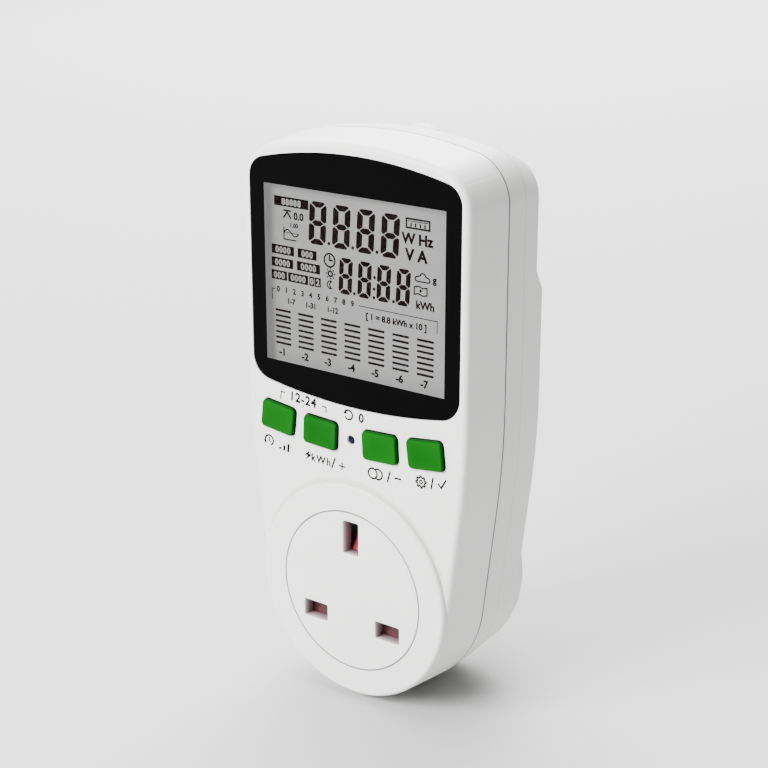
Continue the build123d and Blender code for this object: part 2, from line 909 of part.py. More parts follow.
def make_spring():
    """Coil spring between the shutter and the seat on the insert."""
    pitch = (spring_length - spring_wire) / spring_turns
    coil_radius = spring_radius - spring_wire / 2
    path = Helix(pitch=pitch, height=spring_length - spring_wire, radius=coil_radius)
    section = Plane(origin=path @ 0, z_dir=path % 0) * Circle(spring_wire / 2)
    coil = sweep(section, path=path, is_frenet=True)
    return Pos(0, spring_y(), spring_low_z() + spring_wire / 2) * coil


def pocket_sizes():
    """Inner width, height and back depth of the three contact pockets, by place."""
    line_wide = line_pin_width - contact_grip + 2 * contact_thickness + housing_gap
    earth_high = earth_pin_height - contact_grip + 2 * contact_thickness + housing_gap
    line_back = line_reach_y + contact_thickness
    earth_back = earth_reach_y + contact_thickness
    return [
        (-line_x, line_z, line_wide, line_slot_height, line_back),
        (line_x, line_z, line_wide, line_slot_height, line_back),
        (0, earth_z, earth_slot_width, earth_high, earth_back),
    ]


def make_contact_housing():
    """Moulding behind the shutter: a flange with a walled pocket for each contact."""
    radius = insert_radius + insert_lip
    flange = disc(radius)
    for x, z in ear_places():
        flange += disc(ear_radius, x, z)
        flange += plate(2 * ear_radius, z, x, z / 2)
    housing = slab(flange, chamber_y, housing_back_y)
    for x, z, width, height, back in pocket_sizes():
        tower = plate(width + 2 * housing_wall, height + 2 * housing_wall, x, z)
        housing += slab(tower, chamber_y, back)
    for x, z, width, height, back in pocket_sizes():
        housing -= slab(plate(width, height, x, z), chamber_y - overrun, back + overrun)
    hole_radius = small_screw_radius + hole_clearance
    for x, z in ear_places() + post_places():
        housing -= post(hole_radius, x, z, chamber_y - overrun, housing_back_y + overrun)
    return housing


def make_line_contact(x):
    """Two spring leaves joined by a base, open to the front, for a line pin."""
    half = (line_pin_width - contact_grip) / 2 + contact_thickness
    base = box_between(
        x - half, x + half, line_reach_y, line_reach_y + contact_thickness,
        line_z - contact_height / 2, line_z + contact_height / 2,
    )
    for low in (x - half, x + half - contact_thickness):
        base += box_between(
            low, low + contact_thickness, contact_y, line_reach_y,
            line_z - contact_height / 2, line_z + contact_height / 2,
        )
    return base


def make_earth_contact():
    """Two spring leaves above and below the earth pin, joined by a base."""
    half = (earth_pin_height - contact_grip) / 2 + contact_thickness
    base = box_between(
        -contact_height / 2, contact_height / 2, earth_reach_y, earth_reach_y + contact_thickness,
        earth_z - half, earth_z + half,
    )
    for low in (earth_z - half, earth_z + half - contact_thickness):
        base += box_between(
            -contact_height / 2, contact_height / 2, contact_y, earth_reach_y, low, low + contact_thickness
        )
    return base


def line_section(x, grow=0):
    return plate(line_pin_width + 2 * grow, line_pin_thickness + 2 * grow, x, line_z)


def earth_section(grow=0):
    return plate(earth_pin_width + 2 * grow, earth_pin_height + 2 * grow, 0, earth_z)


def pin_sections(grow=0):
    return [line_section(-line_x, grow), line_section(line_x, grow), earth_section(grow)]


def make_pin(section, flange, tail, length, tail_y):
    """Solid plug pin: chamfered tip, blade, flange behind the wall and a tail."""
    blade = slab(section, pin_wall_y, length)
    tip = blade.faces().sort_by(Axis.Y)[-1]
    blade = chamfer(tip.edges(), pin_tip_chamfer)
    blade += slab(flange, pin_wall_y - pin_flange_thickness, pin_wall_y)
    return blade + slab(tail, tail_y, pin_wall_y - pin_flange_thickness)


def make_line_pin(x, tail_y):
    pin = make_pin(
        line_section(x),
        line_section(x, pin_flange_margin),
        plate(tail_width, tail_thickness, x, line_z),
        line_pin_length,
        tail_y,
    )
    recess = line_section(x) - line_section(x, -sleeve_thickness)
    return pin - slab(recess, seat_y, sleeve_length)


def make_earth_pin():
    return make_pin(
        earth_section(),
        earth_section(pin_flange_margin),
        plate(tail_thickness, tail_width, 0, earth_z),
        earth_pin_length,
        earth_reach_y + contact_thickness,
    )


def make_sleeves():
    """Insulating sleeves round the roots of the two line pins."""
    sleeves = []
    for x in (-line_x, line_x):
        band = line_section(x) - line_section(x, -sleeve_thickness)
        sleeves.append(slab(band, seat_y, sleeve_length))
    return Compound(children=sleeves)


def retainer_y():
    return pin_wall_y - pin_flange_thickness - retainer_cover


def make_retainer():
    """Plate that traps the pin flanges against the plug wall."""
    front = retainer_y()
    solid = slab(disc(retainer_radius), front, pin_wall_y)
    for section in pin_sections(pin_flange_margin + pin_hole_gap):
        solid -= slab(section, pin_wall_y - pin_flange_thickness - seat_gap, pin_wall_y + overrun)
    for x in (-line_x, line_x):
        hole = plate(tail_width + 2 * pin_hole_gap, tail_thickness + 2 * pin_hole_gap, x, line_z)
        solid -= slab(hole, front - overrun, pin_wall_y + overrun)
    hole = plate(tail_thickness + 2 * pin_hole_gap, tail_width + 2 * pin_hole_gap, 0, earth_z)
    solid -= slab(hole, front - overrun, pin_wall_y + overrun)
    for x, z in retainer_screw_places():
        solid -= post(small_screw_radius + hole_clearance, x, z, front - overrun, pin_wall_y + overrun)
    return solid


def shunt_front_y():
    return line_reach_y + contact_thickness


def shunt_back_y():
    return shunt_front_y() + shunt_gap


def make_shunt():
    """Bent measuring strip that carries the live current from the pin to the contact."""
    low = line_z - tail_thickness / 2
    high = line_z + line_slot_height / 2 + housing_wall + shunt_rise
    front = shunt_front_y()
    back = shunt_back_y()
    with BuildSketch(Plane.YZ) as profile:
        with BuildLine():
            Polyline(
                (front, low),
                (front, high),
                (back, high),
                (back, low),
                (back - shunt_thickness, low),
                (back - shunt_thickness, high - shunt_thickness),
                (front + shunt_thickness, high - shunt_thickness),
                (front + shunt_thickness, low),
                close=True,
            )
        make_face()
    return Pos(line_x, 0, 0) * extrude(profile.sketch, amount=shunt_width / 2, both=True)


def make_power_board():
    middle = (power_board_bottom + power_board_top) / 2
    height = power_board_top - power_board_bottom
    board = plate(2 * power_board_half_width, height, 0, middle, board_thickness)
    for x, z in case_screw_places():
        board -= disc(screw_tower_radius + board_gap, x, z)
    for x, z in power_screw_places():
        board -= disc(small_screw_radius + hole_clearance, x, z)
    return slab(board, power_y, power_back_y)


def make_capacitor():
    body = slab(
        plate(capacitor_width, capacitor_height, capacitor_x, capacitor_z), power_y - capacitor_depth, power_y
    )
    edges = body.edges().filter_by(Axis.Y) + body.faces().sort_by(Axis.Y)[0].edges()
    return fillet(edges, capacitor_edge_radius)


def make_varistor():
    solid = Pos(varistor_x, power_y - varistor_radius, varistor_z) * Rot(0, 90, 0) * Cylinder(
        varistor_radius, varistor_thickness
    )
    return fillet(solid.edges().filter_by(GeomType.CIRCLE), varistor_thickness * varistor_round_share)


def lying_can(radius, length, x, z):
    solid = Pos(x, power_y - radius, z) * Rot(0, 90, 0) * Cylinder(radius, length)
    return fillet(solid.edges().filter_by(GeomType.CIRCLE), radius * can_round_share)


def make_resistors():
    """Three film resistors in a row, lying on the power board."""
    rods = []
    for count in range(resistor_count):
        height = resistor_z + count * resistor_pitch
        rods.append(lying_can(resistor_radius, resistor_length, resistor_x, height))
    return Compound(children=rods)


def chip(x, z, back, width, length, height, lead, pins):
    """Flat chip package with a row of leads on both long sides."""
    body = slab(plate(width, length, x, z), back - height, back)
    body = chamfer(body.faces().sort_by(Axis.Y)[0].edges(), height * chip_edge_share)
    pitch = length / (pins + 1)
    for count in range(pins):
        row = z - length / 2 + pitch * (count + 1)
        feet = plate(width + 2 * lead, pitch * chip_foot_share, x, row)
        body += slab(feet, back - height * chip_foot_share, back)
    return body


def make_processor():
    """Controller package on the back of the display board."""
    body = slab(
        plate(processor_size, processor_size, processor_x, processor_z),
        board_back_y,
        board_back_y + processor_height,
    )
    return chamfer(body.faces().sort_by(Axis.Y)[-1].edges(), processor_height * chip_edge_share)


def make_crystal():
    radius = crystal_width / 2
    can = slab(
        plate(crystal_length, crystal_width, crystal_x, crystal_z, radius * crystal_end_share),
        board_back_y,
        board_back_y + crystal_height,
    )
    return fillet(can.faces().sort_by(Axis.Y)[-1].edges(), crystal_height * crystal_round_share)


def make_board_link():
    """Pin header that joins the two boards."""
    return slab(plate(link_length, link_width, link_x, link_z), board_back_y, power_y)


def make_terminal():
    """Two-way terminal where the mains leads reach the power board."""
    low = power_board_bottom
    block = plate(terminal_length, terminal_height, 0, low + terminal_height / 2)
    body = slab(block, power_y - terminal_depth, power_y)
    return chamfer(body.faces().sort_by(Axis.Y)[0].edges(), board_gap)


def make_lead(side):
    """Insulated lead from a line terminal up to the terminal on the power board."""
    start_z = line_z + line_slot_height / 2 + housing_wall + shunt_rise
    depth = (shunt_front_y() + shunt_back_y()) / 2
    end = terminal_length / 2 - 2 * wire_margin
    height = power_board_bottom - start_z
    points = [
        (side * line_x, depth, start_z),
        (side * line_x, depth, start_z + height * lead_leave_share),
        (side * end, power_y - terminal_depth / 2, start_z + height * lead_arrive_share),
        (side * end, power_y - terminal_depth / 2, power_board_bottom),
    ]
    path = FilletPolyline(*points, radius=height * lead_bend_share)
    return sweep(Plane(origin=points[0], z_dir=(0, 0, 1)) * Circle(wire_radius), path=path)


def make_neutral_post():
    """Brass post on the neutral tail that its lead is soldered to."""
    high = line_z + line_slot_height / 2 + housing_wall + shunt_rise
    front = shunt_front_y()
    return box_between(
        -line_x - shunt_width / 2, -line_x + shunt_width / 2, front, front + shunt_gap,
        line_z + tail_thickness / 2, high,
    )


def turned(screw):
    """The screw turned round to point along +Y."""
    return Rot(0, 0, 180) * screw


def at_places(solid, places, depth):
    return Compound(children=[Pos(x, depth, z) * solid for x, z in places])


def make_case_screws():
    screws = []
    for x, z in case_screw_places():
        head_y = tower_back(z) - screw_head_height - board_gap
        screws.append(Pos(x, head_y, z) * back_screw(head_y - seam_y + screw_bite))
    return Compound(children=screws)


def save(name, shape):
    export_step(shape, f"parts/{name}.step")
    print(name, round(shape.volume, 2))


keys = key_places()
save("front_shell", make_front_shell())
save("rear_shell", make_rear_shell())
save("display_window", make_window())
save("lcd_glass", make_glass())
save("lcd_frame", make_display_frame())
save("lcd_diffuser", make_diffuser())
save("contact_strips", make_contact_strips())
save("main_board", make_main_board())
save("history_key", make_key(keys[0]))
save("plus_key", make_key(keys[1]))
save("minus_key", make_key(keys[2]))
save("set_key", make_key(keys[3]))
save("keypad_sheet", make_keypad())
save("reset_switch", make_reset_switch())
save("reset_plunger", make_reset_plunger())
save("socket_insert", make_insert())
save("shutter", make_shutter())
save("shutter_spring", make_spring())
save("contact_housing", make_contact_housing())
save("neutral_contact", make_line_contact(-line_x))
save("live_contact", make_line_contact(line_x))
save("earth_contact", make_earth_contact())
save("neutral_pin", make_line_pin(-line_x, shunt_front_y()))
save("live_pin", make_line_pin(line_x, shunt_back_y()))
save("earth_pin", make_earth_pin())
save("pin_sleeves", make_sleeves())
save("pin_retainer", make_retainer())
save("shunt_strip", make_shunt())
save("power_board", make_power_board())
save("dropper_capacitor", make_capacitor())
save("varistor", make_varistor())
save("smoothing_capacitor", lying_can(smoothing_radius, smoothing_length, smoothing_x, smoothing_z))
save("backup_battery", lying_can(battery_radius, battery_length, battery_x, battery_z))
save("film_resistors", make_resistors())
save(
    "metering_chip",
    chip(
        meter_chip_x, meter_chip_z, power_y, chip_width, chip_length, chip_height, chip_lead, chip_pin_count
    ),
)
save("controller_chip", make_processor())
save("timing_crystal", make_crystal())
save("board_link", make_board_link())
save("mains_terminal", make_terminal())
save("live_lead", make_lead(1))
save("neutral_lead", make_lead(-1))
save("case_screws", make_case_screws())
forward_screw = small_screw(small_screw_length)
backward_screw = turned(small_screw(small_screw_length))
save("display_board_screws", at_places(forward_screw, main_screw_places(), board_back_y))
save("power_board_screws", at_places(backward_screw, power_screw_places(), power_y))
save("socket_screws", at_places(forward_screw, ear_places() + post_places(), housing_back_y))
save("retainer_screws", at_places(backward_screw, retainer_screw_places(), retainer_y()))
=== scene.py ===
import bmesh
import bpy
import json
from math import cos, hypot, pi, radians, sin
from mathutils import Matrix, Vector

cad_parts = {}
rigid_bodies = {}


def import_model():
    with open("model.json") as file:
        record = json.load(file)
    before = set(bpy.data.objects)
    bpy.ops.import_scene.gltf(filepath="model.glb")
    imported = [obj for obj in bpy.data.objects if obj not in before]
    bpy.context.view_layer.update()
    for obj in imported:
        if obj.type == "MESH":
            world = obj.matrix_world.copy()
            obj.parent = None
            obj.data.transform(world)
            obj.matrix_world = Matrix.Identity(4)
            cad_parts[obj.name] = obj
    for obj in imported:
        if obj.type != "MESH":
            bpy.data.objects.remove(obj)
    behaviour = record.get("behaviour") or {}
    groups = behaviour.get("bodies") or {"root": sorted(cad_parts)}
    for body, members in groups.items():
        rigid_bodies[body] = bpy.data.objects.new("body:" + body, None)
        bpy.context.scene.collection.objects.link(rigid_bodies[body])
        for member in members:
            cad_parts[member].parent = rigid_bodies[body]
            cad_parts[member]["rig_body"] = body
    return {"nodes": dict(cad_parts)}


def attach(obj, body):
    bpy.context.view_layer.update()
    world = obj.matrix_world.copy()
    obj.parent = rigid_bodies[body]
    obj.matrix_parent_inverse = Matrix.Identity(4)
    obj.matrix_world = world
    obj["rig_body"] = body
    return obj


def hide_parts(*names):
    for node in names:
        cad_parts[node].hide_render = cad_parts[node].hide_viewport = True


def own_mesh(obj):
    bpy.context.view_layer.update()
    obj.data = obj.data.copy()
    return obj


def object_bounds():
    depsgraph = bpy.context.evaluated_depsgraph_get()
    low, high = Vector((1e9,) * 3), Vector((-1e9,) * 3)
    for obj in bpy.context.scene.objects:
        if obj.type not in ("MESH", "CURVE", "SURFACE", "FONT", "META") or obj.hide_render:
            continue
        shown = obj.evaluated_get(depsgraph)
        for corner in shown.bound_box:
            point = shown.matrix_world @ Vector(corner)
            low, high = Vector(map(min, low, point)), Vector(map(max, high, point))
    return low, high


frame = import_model()
cad_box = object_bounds()
scene = bpy.context.scene
mm = 0.001

# The camera stands to the right of the face and above it, about 45 cm away, and looks
# through a long lens, so that the upright edges of the case stay nearly parallel.
camera_turn = radians(37.009)
camera_tilt = radians(18.217)
camera_place = Vector((242.09, -342.46, 182.44)) * mm
camera_lens = 81.56
camera_sensor = 36
nearest_seen = 0.01
backwards = Vector((
    sin(camera_turn) * cos(camera_tilt), -cos(camera_turn) * cos(camera_tilt), sin(camera_tilt),
))
rightwards = Vector((cos(camera_turn), sin(camera_turn), 0))
upwards = backwards.cross(rightwards)
camera_axes = Matrix((rightwards, upwards, backwards)).transposed().to_4x4()
camera = bpy.data.objects.new("camera", bpy.data.cameras.new("camera"))
scene.collection.objects.link(camera)
camera.matrix_world = Matrix.Translation(camera_place) @ camera_axes
camera.data.lens = camera_lens
camera.data.sensor_width = camera_sensor
camera.data.clip_start = nearest_seen
scene.camera = camera

# The studio: a wide pale floor under the foot of the case, a dim even room, and three soft
# boxes. One stands in front to the left, one hangs overhead and one lights the floor behind,
# so the right side of the case gets the least light.
floor_half = 4.0
floor_drop = 0.0004
floor_grey = 0.5
floor_rough = 0.9
room_strength = 0.14
floor_z = cad_box[0][2] - floor_drop
floor_shape = bmesh.new()
floor_corners = [(x * floor_half, y * floor_half) for x, y in ((-1, -1), (1, -1), (1, 1), (-1, 1))]
floor_shape.faces.new([floor_shape.verts.new((x, y, floor_z)) for x, y in floor_corners])
floor_mesh = bpy.data.meshes.new("floor")
floor_shape.to_mesh(floor_mesh)
floor_shape.free()
floor = bpy.data.objects.new("floor", floor_mesh)
scene.collection.objects.link(floor)
paper = bpy.data.materials.new("floor_paper")
paper.use_nodes = True
paper_shader = paper.node_tree.nodes["Principled BSDF"]
paper_shader.inputs["Base Color"].default_value = (floor_grey, floor_grey, floor_grey, 1)
paper_shader.inputs["Roughness"].default_value = floor_rough
floor_mesh.materials.append(paper)

room = bpy.data.worlds.new("room")
room.use_nodes = True
room.node_tree.nodes["Background"].inputs["Color"].default_value = (1, 1, 1, 1)
room.node_tree.nodes["Background"].inputs["Strength"].default_value = room_strength
scene.world = room


def soft_box(name, place, target, width, height, power):
    """A rectangular lamp that faces a point; the sizes and places are in metres."""
    lamp = bpy.data.lights.new(name, "AREA")
    lamp.shape = "RECTANGLE"
    lamp.size = width
    lamp.size_y = height
    lamp.energy = power
    holder = bpy.data.objects.new(name, lamp)
    holder.location = place
    holder.rotation_euler = (Vector(target) - Vector(place)).to_track_quat("-Z", "Y").to_euler()
    scene.collection.objects.link(holder)


case_middle = (0, -0.017, 0.04)
lit_floor = (-0.9, 1.3, 0)
soft_box("key_light", place=(-0.4, -1.1, 0.72), target=case_middle, width=0.8, height=0.6, power=62)
soft_box("top_light", place=(-0.15, 0.1, 1.0), target=case_middle, width=0.8, height=0.8, power=20)
soft_box("floor_light", place=(-0.9, 1.3, 1.1), target=lit_floor, width=1.6, height=1.6, power=150)


# The front shell is moulded in one piece with the socket ring: white satin plastic with a
# fine even grain. The seam, the gap round the insert and the ring's valley get painted shade.
def node_in(material, kind, **values):
    """One shader node with its plain settings."""
    made = material.node_tree.nodes.new(kind)
    for key, value in values.items():
        setattr(made, key, value)
    return made


def surface(
    name, colour, rough, grain=0.35, relief=0.004, mottle=0.04, gloss_change=0.06,
    metal=0.0, stretch=(1, 1, 1), sheen=0.5,
):
    """A procedural material. grain is the size of its texture in mm and relief its depth in mm."""
    clouds_per_metre = 70
    cloud_edges = (0.3, 0.7)
    bump_share = 0.6
    glossiest = 0.02
    material = bpy.data.materials.new(name)
    material.use_nodes = True
    links = material.node_tree.links
    shader = material.node_tree.nodes["Principled BSDF"]
    shader.inputs["Metallic"].default_value = metal
    shader.inputs["Specular IOR Level"].default_value = sheen
    place = node_in(material, "ShaderNodeTexCoord")
    mapping = node_in(material, "ShaderNodeMapping")
    mapping.inputs["Scale"].default_value = stretch
    links.new(place.outputs["Object"], mapping.inputs["Vector"])
    clouds = node_in(material, "ShaderNodeTexNoise")
    clouds.inputs["Scale"].default_value = clouds_per_metre
    clouds.inputs["Detail"].default_value = 3
    links.new(mapping.outputs["Vector"], clouds.inputs["Vector"])
    tint = node_in(material, "ShaderNodeValToRGB")
    tint.color_ramp.elements[0].position = cloud_edges[0]
    tint.color_ramp.elements[0].color = tuple(c * (1 - mottle) for c in colour) + (1,)
    tint.color_ramp.elements[1].position = cloud_edges[1]
    tint.color_ramp.elements[1].color = tuple(min(1, c * (1 + mottle)) for c in colour) + (1,)
    links.new(clouds.outputs["Fac"], tint.inputs["Fac"])
    links.new(tint.outputs["Color"], shader.inputs["Base Color"])
    texture = node_in(material, "ShaderNodeTexNoise")
    texture.inputs["Scale"].default_value = 1 / (grain * mm)
    texture.inputs["Detail"].default_value = 2
    links.new(mapping.outputs["Vector"], texture.inputs["Vector"])
    gloss = node_in(material, "ShaderNodeMapRange")
    gloss.inputs["To Min"].default_value = max(glossiest, rough - gloss_change)
    gloss.inputs["To Max"].default_value = min(1, rough + gloss_change)
    links.new(texture.outputs["Fac"], gloss.inputs["Value"])
    links.new(gloss.outputs["Result"], shader.inputs["Roughness"])
    bump = node_in(material, "ShaderNodeBump")
    bump.inputs["Strength"].default_value = bump_share
    bump.inputs["Distance"].default_value = relief * mm
    links.new(texture.outputs["Fac"], bump.inputs["Height"])
    links.new(bump.outputs["Normal"], shader.inputs["Normal"])
    return material


def tinted(material, value, stops):
    """Multiplies a material's colour by tints, at places in mm along a value in metres."""
    first = stops[0][0]
    last = stops[-1][0]
    links = material.node_tree.links
    shader = material.node_tree.nodes["Principled BSDF"]
    colour = shader.inputs["Base Color"].links[0].from_socket
    span = node_in(material, "ShaderNodeMapRange")
    span.inputs["From Min"].default_value = first * mm
    span.inputs["From Max"].default_value = last * mm
    ramp = node_in(material, "ShaderNodeValToRGB")
    for _ in stops[2:]:
        ramp.color_ramp.elements.new(0.5)
    for element, (depth, tint) in zip(ramp.color_ramp.elements, stops):
        element.position = (depth - first) / (last - first)
        element.color = tint + (1,)
    product = node_in(material, "ShaderNodeVectorMath", operation="MULTIPLY")
    links.new(value, span.inputs["Value"])
    links.new(span.outputs["Result"], ramp.inputs["Fac"])
    links.new(colour, product.inputs[0])
    links.new(ramp.outputs["Color"], product.inputs[1])
    links.new(product.outputs[0], shader.inputs["Base Color"])


def computed(material, operation, *values):
    """One step of arithmetic. Each value is a number or the output of another node."""
    step = node_in(material, "ShaderNodeMath", operation=operation)
    for socket, value in zip(step.inputs, values):
        if isinstance(value, float):
            socket.default_value = value
        else:
            material.node_tree.links.new(value, socket)
    return step.outputs[0]


def along(material, axis):
    """How far a point lies along an axis."""
    place = node_in(material, "ShaderNodeTexCoord")
    split = node_in(material, "ShaderNodeSeparateXYZ")
    material.node_tree.links.new(place.outputs["Object"], split.inputs[0])
    return split.outputs[axis]


def outwards(material):
    """How far a point lies from the socket's axis."""
    place = node_in(material, "ShaderNodeTexCoord")
    flat = node_in(material, "ShaderNodeVectorMath", operation="MULTIPLY")
    flat.inputs[1].default_value = (1, 0, 1)
    reach = node_in(material, "ShaderNodeVectorMath", operation="LENGTH")
    material.node_tree.links.new(place.outputs["Object"], flat.inputs[0])
    material.node_tree.links.new(flat.outputs[0], reach.inputs[0])
    return reach.outputs["Value"]


def in_valley(material, low, back):
    """The distance from the socket's axis above a height and before a depth, and nought elsewhere."""
    above = computed(material, "GREATER_THAN", along(material, "Z"), low * mm)
    before = computed(material, "LESS_THAN", along(material, "Y"), back * mm)
    return computed(material, "MULTIPLY", outwards(material), computed(material, "MULTIPLY", above, before))


def settle(piece, body, slot, *nodes):
    """Puts a finished piece on its body and hides the nodes that it stands for. The slot is not used."""
    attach(piece, body)
    if nodes:
        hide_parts(*nodes)


weld_distance = 0.002 * mm
flat_angle = radians(0.4)


def softened(node, name, material, crease=32):
    """A smoothly shaded copy of a node, with its loose triangles joined into whole flat faces."""
    shape = bmesh.new()
    shape.from_mesh(frame["nodes"][node].data)
    bmesh.ops.remove_doubles(shape, verts=shape.verts, dist=weld_distance)
    bmesh.ops.dissolve_limit(shape, angle_limit=flat_angle, verts=shape.verts, edges=shape.edges)
    mesh = bpy.data.meshes.new(name)
    shape.to_mesh(mesh)
    shape.free()
    mesh.materials.clear()
    mesh.materials.append(material)
    mesh.shade_smooth()
    mesh.set_sharp_from_angle(angle=radians(crease))
    piece = bpy.data.objects.new(name, mesh)
    scene.collection.objects.link(piece)
    even = piece.modifiers.new("even shading", "WEIGHTED_NORMAL")
    even.keep_sharp = True
    settle(piece, frame["nodes"][node]["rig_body"], node, node)
    return piece


case_white = (0.80, 0.80, 0.785)
shell_crease = 16
white = (1.0, 1.0, 1.0)
seam_shade = (0.1, 0.1, 0.1)
gap_shade = (0.35, 0.34, 0.34)
valley_shade = (0.84, 0.83, 0.82)
valley_low = 8.0
valley_back = -33.4
# Painted shade in the seam, in the gap round the insert and in the valley at the ring.
front_seam_shade = [(-19.9, white), (-19.7, white), (-19.55, seam_shade), (-19.0, seam_shade)]
insert_gap_shade = [(20.5, white), (20.72, gap_shade), (20.84, gap_shade), (21.0, white)]
ring_valley_shade = [(27.0, white), (28.0, valley_shade), (28.6, valley_shade), (29.0, white)]
satin_white = surface("satin_white", case_white, 0.42, grain=0.25, relief=0.0025, mottle=0.012)
tinted(satin_white, along(satin_white, "Y"), front_seam_shade)
tinted(satin_white, outwards(satin_white), insert_gap_shade)
tinted(satin_white, in_valley(satin_white, valley_low, valley_back), ring_valley_shade)
softened("front_shell", "front_moulding", satin_white, crease=shell_crease)

# The rear shell carries the plug block and the four screw towers. It is the same white
# plastic, a little duller where the mould is spark eroded.
# Painted shade along the seam and along the ridge line behind it.
ridge_shade = (0.8, 0.8, 0.8)
rear_seam_shade = [(-19.8, seam_shade), (-19.25, seam_shade), (-19.1, white), (-19.0, white)]
rear_ridge_shade = [(-12.5, white), (-12.2, ridge_shade), (-12.1, ridge_shade), (-11.9, white)]
dull_white = surface("dull_white", (0.78, 0.78, 0.765), 0.5, grain=0.3, relief=0.004, mottle=0.015)
tinted(dull_white, along(dull_white, "Y"), rear_seam_shade)
tinted(dull_white, along(dull_white, "Y"), rear_ridge_shade)
softened("rear_shell", "rear_moulding", dull_white, crease=shell_crease)

# The display window is one clear sheet with a gloss black frame printed round the view
# area. The black stops at the view area in front, and a wider pocket behind lets light in.
view_half = 53.2 / 2
view_low = 54.95
view_high = 98.7
pocket = 2.1
window_front = -33.8
window_back = -32.3
print_back = -33.6
pane_front = -33.77
pane_back = -32.5
window_crease = 24
same_plane = 0.01
gloss_black = surface(
    "gloss_black", (0.0012, 0.0012, 0.0013), 0.12,
    grain=4.0, relief=0.004, mottle=0.1, gloss_change=0.03, sheen=0.013,
)


def mesh_piece(name, shape, material):
    """An object made of a finished bmesh."""
    mesh = bpy.data.meshes.new(name)
    shape.to_mesh(mesh)
    shape.free()
    mesh.materials.append(material)
    piece = bpy.data.objects.new(name, mesh)
    scene.collection.objects.link(piece)
    return piece


def add_plate(shape, outline, front, back):
    """A flat plate of a closed outline in mm, listed anticlockwise as the front is seen."""
    near = [shape.verts.new((x * mm, front * mm, z * mm)) for x, z in outline]
    far = [shape.verts.new((x * mm, back * mm, z * mm)) for x, z in outline]
    shape.faces.new(near)
    shape.faces.new(far[::-1])
    for i in range(len(near)):
        j = (i + 1) % len(near)
        shape.faces.new((near[j], near[i], far[i], far[j]))


def add_ring(shape, outer, inner, front, back):
    """A flat plate between two closed outlines of as many points."""
    loops = []
    for outline, depth in ((outer, front), (inner, front), (inner, back), (outer, back)):
        loops.append([shape.verts.new((x * mm, depth * mm, z * mm)) for x, z in outline])
    for a, b in zip(loops, loops[1:] + loops[:1]):
        for i in range(len(a)):
            j = (i + 1) % len(a)
            shape.faces.new((a[i], a[j], b[j], b[i]))


def cut_window():
    """The printed frame: the window's solid without the view area and the pocket behind it."""
    shape = bmesh.new()
    shape.from_mesh(frame["nodes"]["display_window"].data)
    bmesh.ops.remove_doubles(shape, verts=shape.verts, dist=weld_distance)
    for grow, depth in ((0, window_front), (pocket, window_back)):
        low, high, half = view_low - grow, view_high + grow, view_half + grow
        across = [((x, 0, 0), (1, 0, 0)) for x in (-half, half)]
        upright = [((0, 0, z), (0, 0, 1)) for z in (low, high)]
        for place, way in across + upright:
            parts = shape.verts[:] + shape.edges[:] + shape.faces[:]
            bmesh.ops.bisect_plane(shape, geom=parts, plane_co=Vector(place) * mm, plane_no=way)
        middles = [(face, face.calc_center_median() / mm) for face in shape.faces]
        inside = [
            face for face, spot in middles
            if abs(spot.y - depth) < same_plane and abs(spot.x) < half and low < spot.z < high
        ]
        bmesh.ops.delete(shape, geom=inside, context="FACES")
    rims = []
    for depth in (window_front, window_back):
        rim = [
            edge for edge in shape.edges
            if edge.is_boundary and all(abs(vert.co.y / mm - depth) < same_plane for vert in edge.verts)
        ]
        drawn = bmesh.ops.extrude_edge_only(shape, edges=rim)["geom"]
        moved = {part for part in drawn if isinstance(part, bmesh.types.BMVert)}
        for vert in moved:
            vert.co.y = print_back * mm
        rims += [
            part for part in drawn
            if isinstance(part, bmesh.types.BMEdge) and moved.issuperset(part.verts)
        ]
    bmesh.ops.triangle_fill(shape, use_beauty=True, edges=rims)
    bmesh.ops.recalc_face_normals(shape, faces=shape.faces)
    frame_piece = mesh_piece("window_print", shape, gloss_black)
    frame_piece.data.shade_smooth()
    frame_piece.data.set_sharp_from_angle(angle=radians(window_crease))
    even = frame_piece.modifiers.new("even shading", "WEIGHTED_NORMAL")
    even.keep_sharp = True
    return frame_piece


settle(cut_window(), "case", "display_window", "display_window")

clear_black = 0.01
clear_waves_per_metre = 60
clear_relief = 0.004 * mm
clear = bpy.data.materials.new("clear_acrylic")
clear.use_nodes = True
clear_links = clear.node_tree.links
clear_shader = clear.node_tree.nodes["Principled BSDF"]
clear_shader.inputs["Base Color"].default_value = (clear_black, clear_black, clear_black, 1)
clear_shader.inputs["Roughness"].default_value = 0.04
clear_shader.inputs["Alpha"].default_value = 0.04
clear_shader.inputs["Specular IOR Level"].default_value = 0.2
clear_place = node_in(clear, "ShaderNodeTexCoord")
clear_waves = node_in(clear, "ShaderNodeTexNoise")
clear_waves.inputs["Scale"].default_value = clear_waves_per_metre
clear_bump = node_in(clear, "ShaderNodeBump")
clear_bump.inputs["Distance"].default_value = clear_relief
clear_links.new(clear_place.outputs["Object"], clear_waves.inputs["Vector"])
clear_links.new(clear_waves.outputs["Fac"], clear_bump.inputs["Height"])
clear_links.new(clear_bump.outputs["Normal"], clear_shader.inputs["Normal"])
view_corners = [(-view_half, view_low), (view_half, view_low), (view_half, view_high), (-view_half, view_high)]
pane_shape = bmesh.new()
add_plate(pane_shape, view_corners, pane_front, pane_back)
settle(mesh_piece("window_clear_area", pane_shape, clear), "case", "display_window")
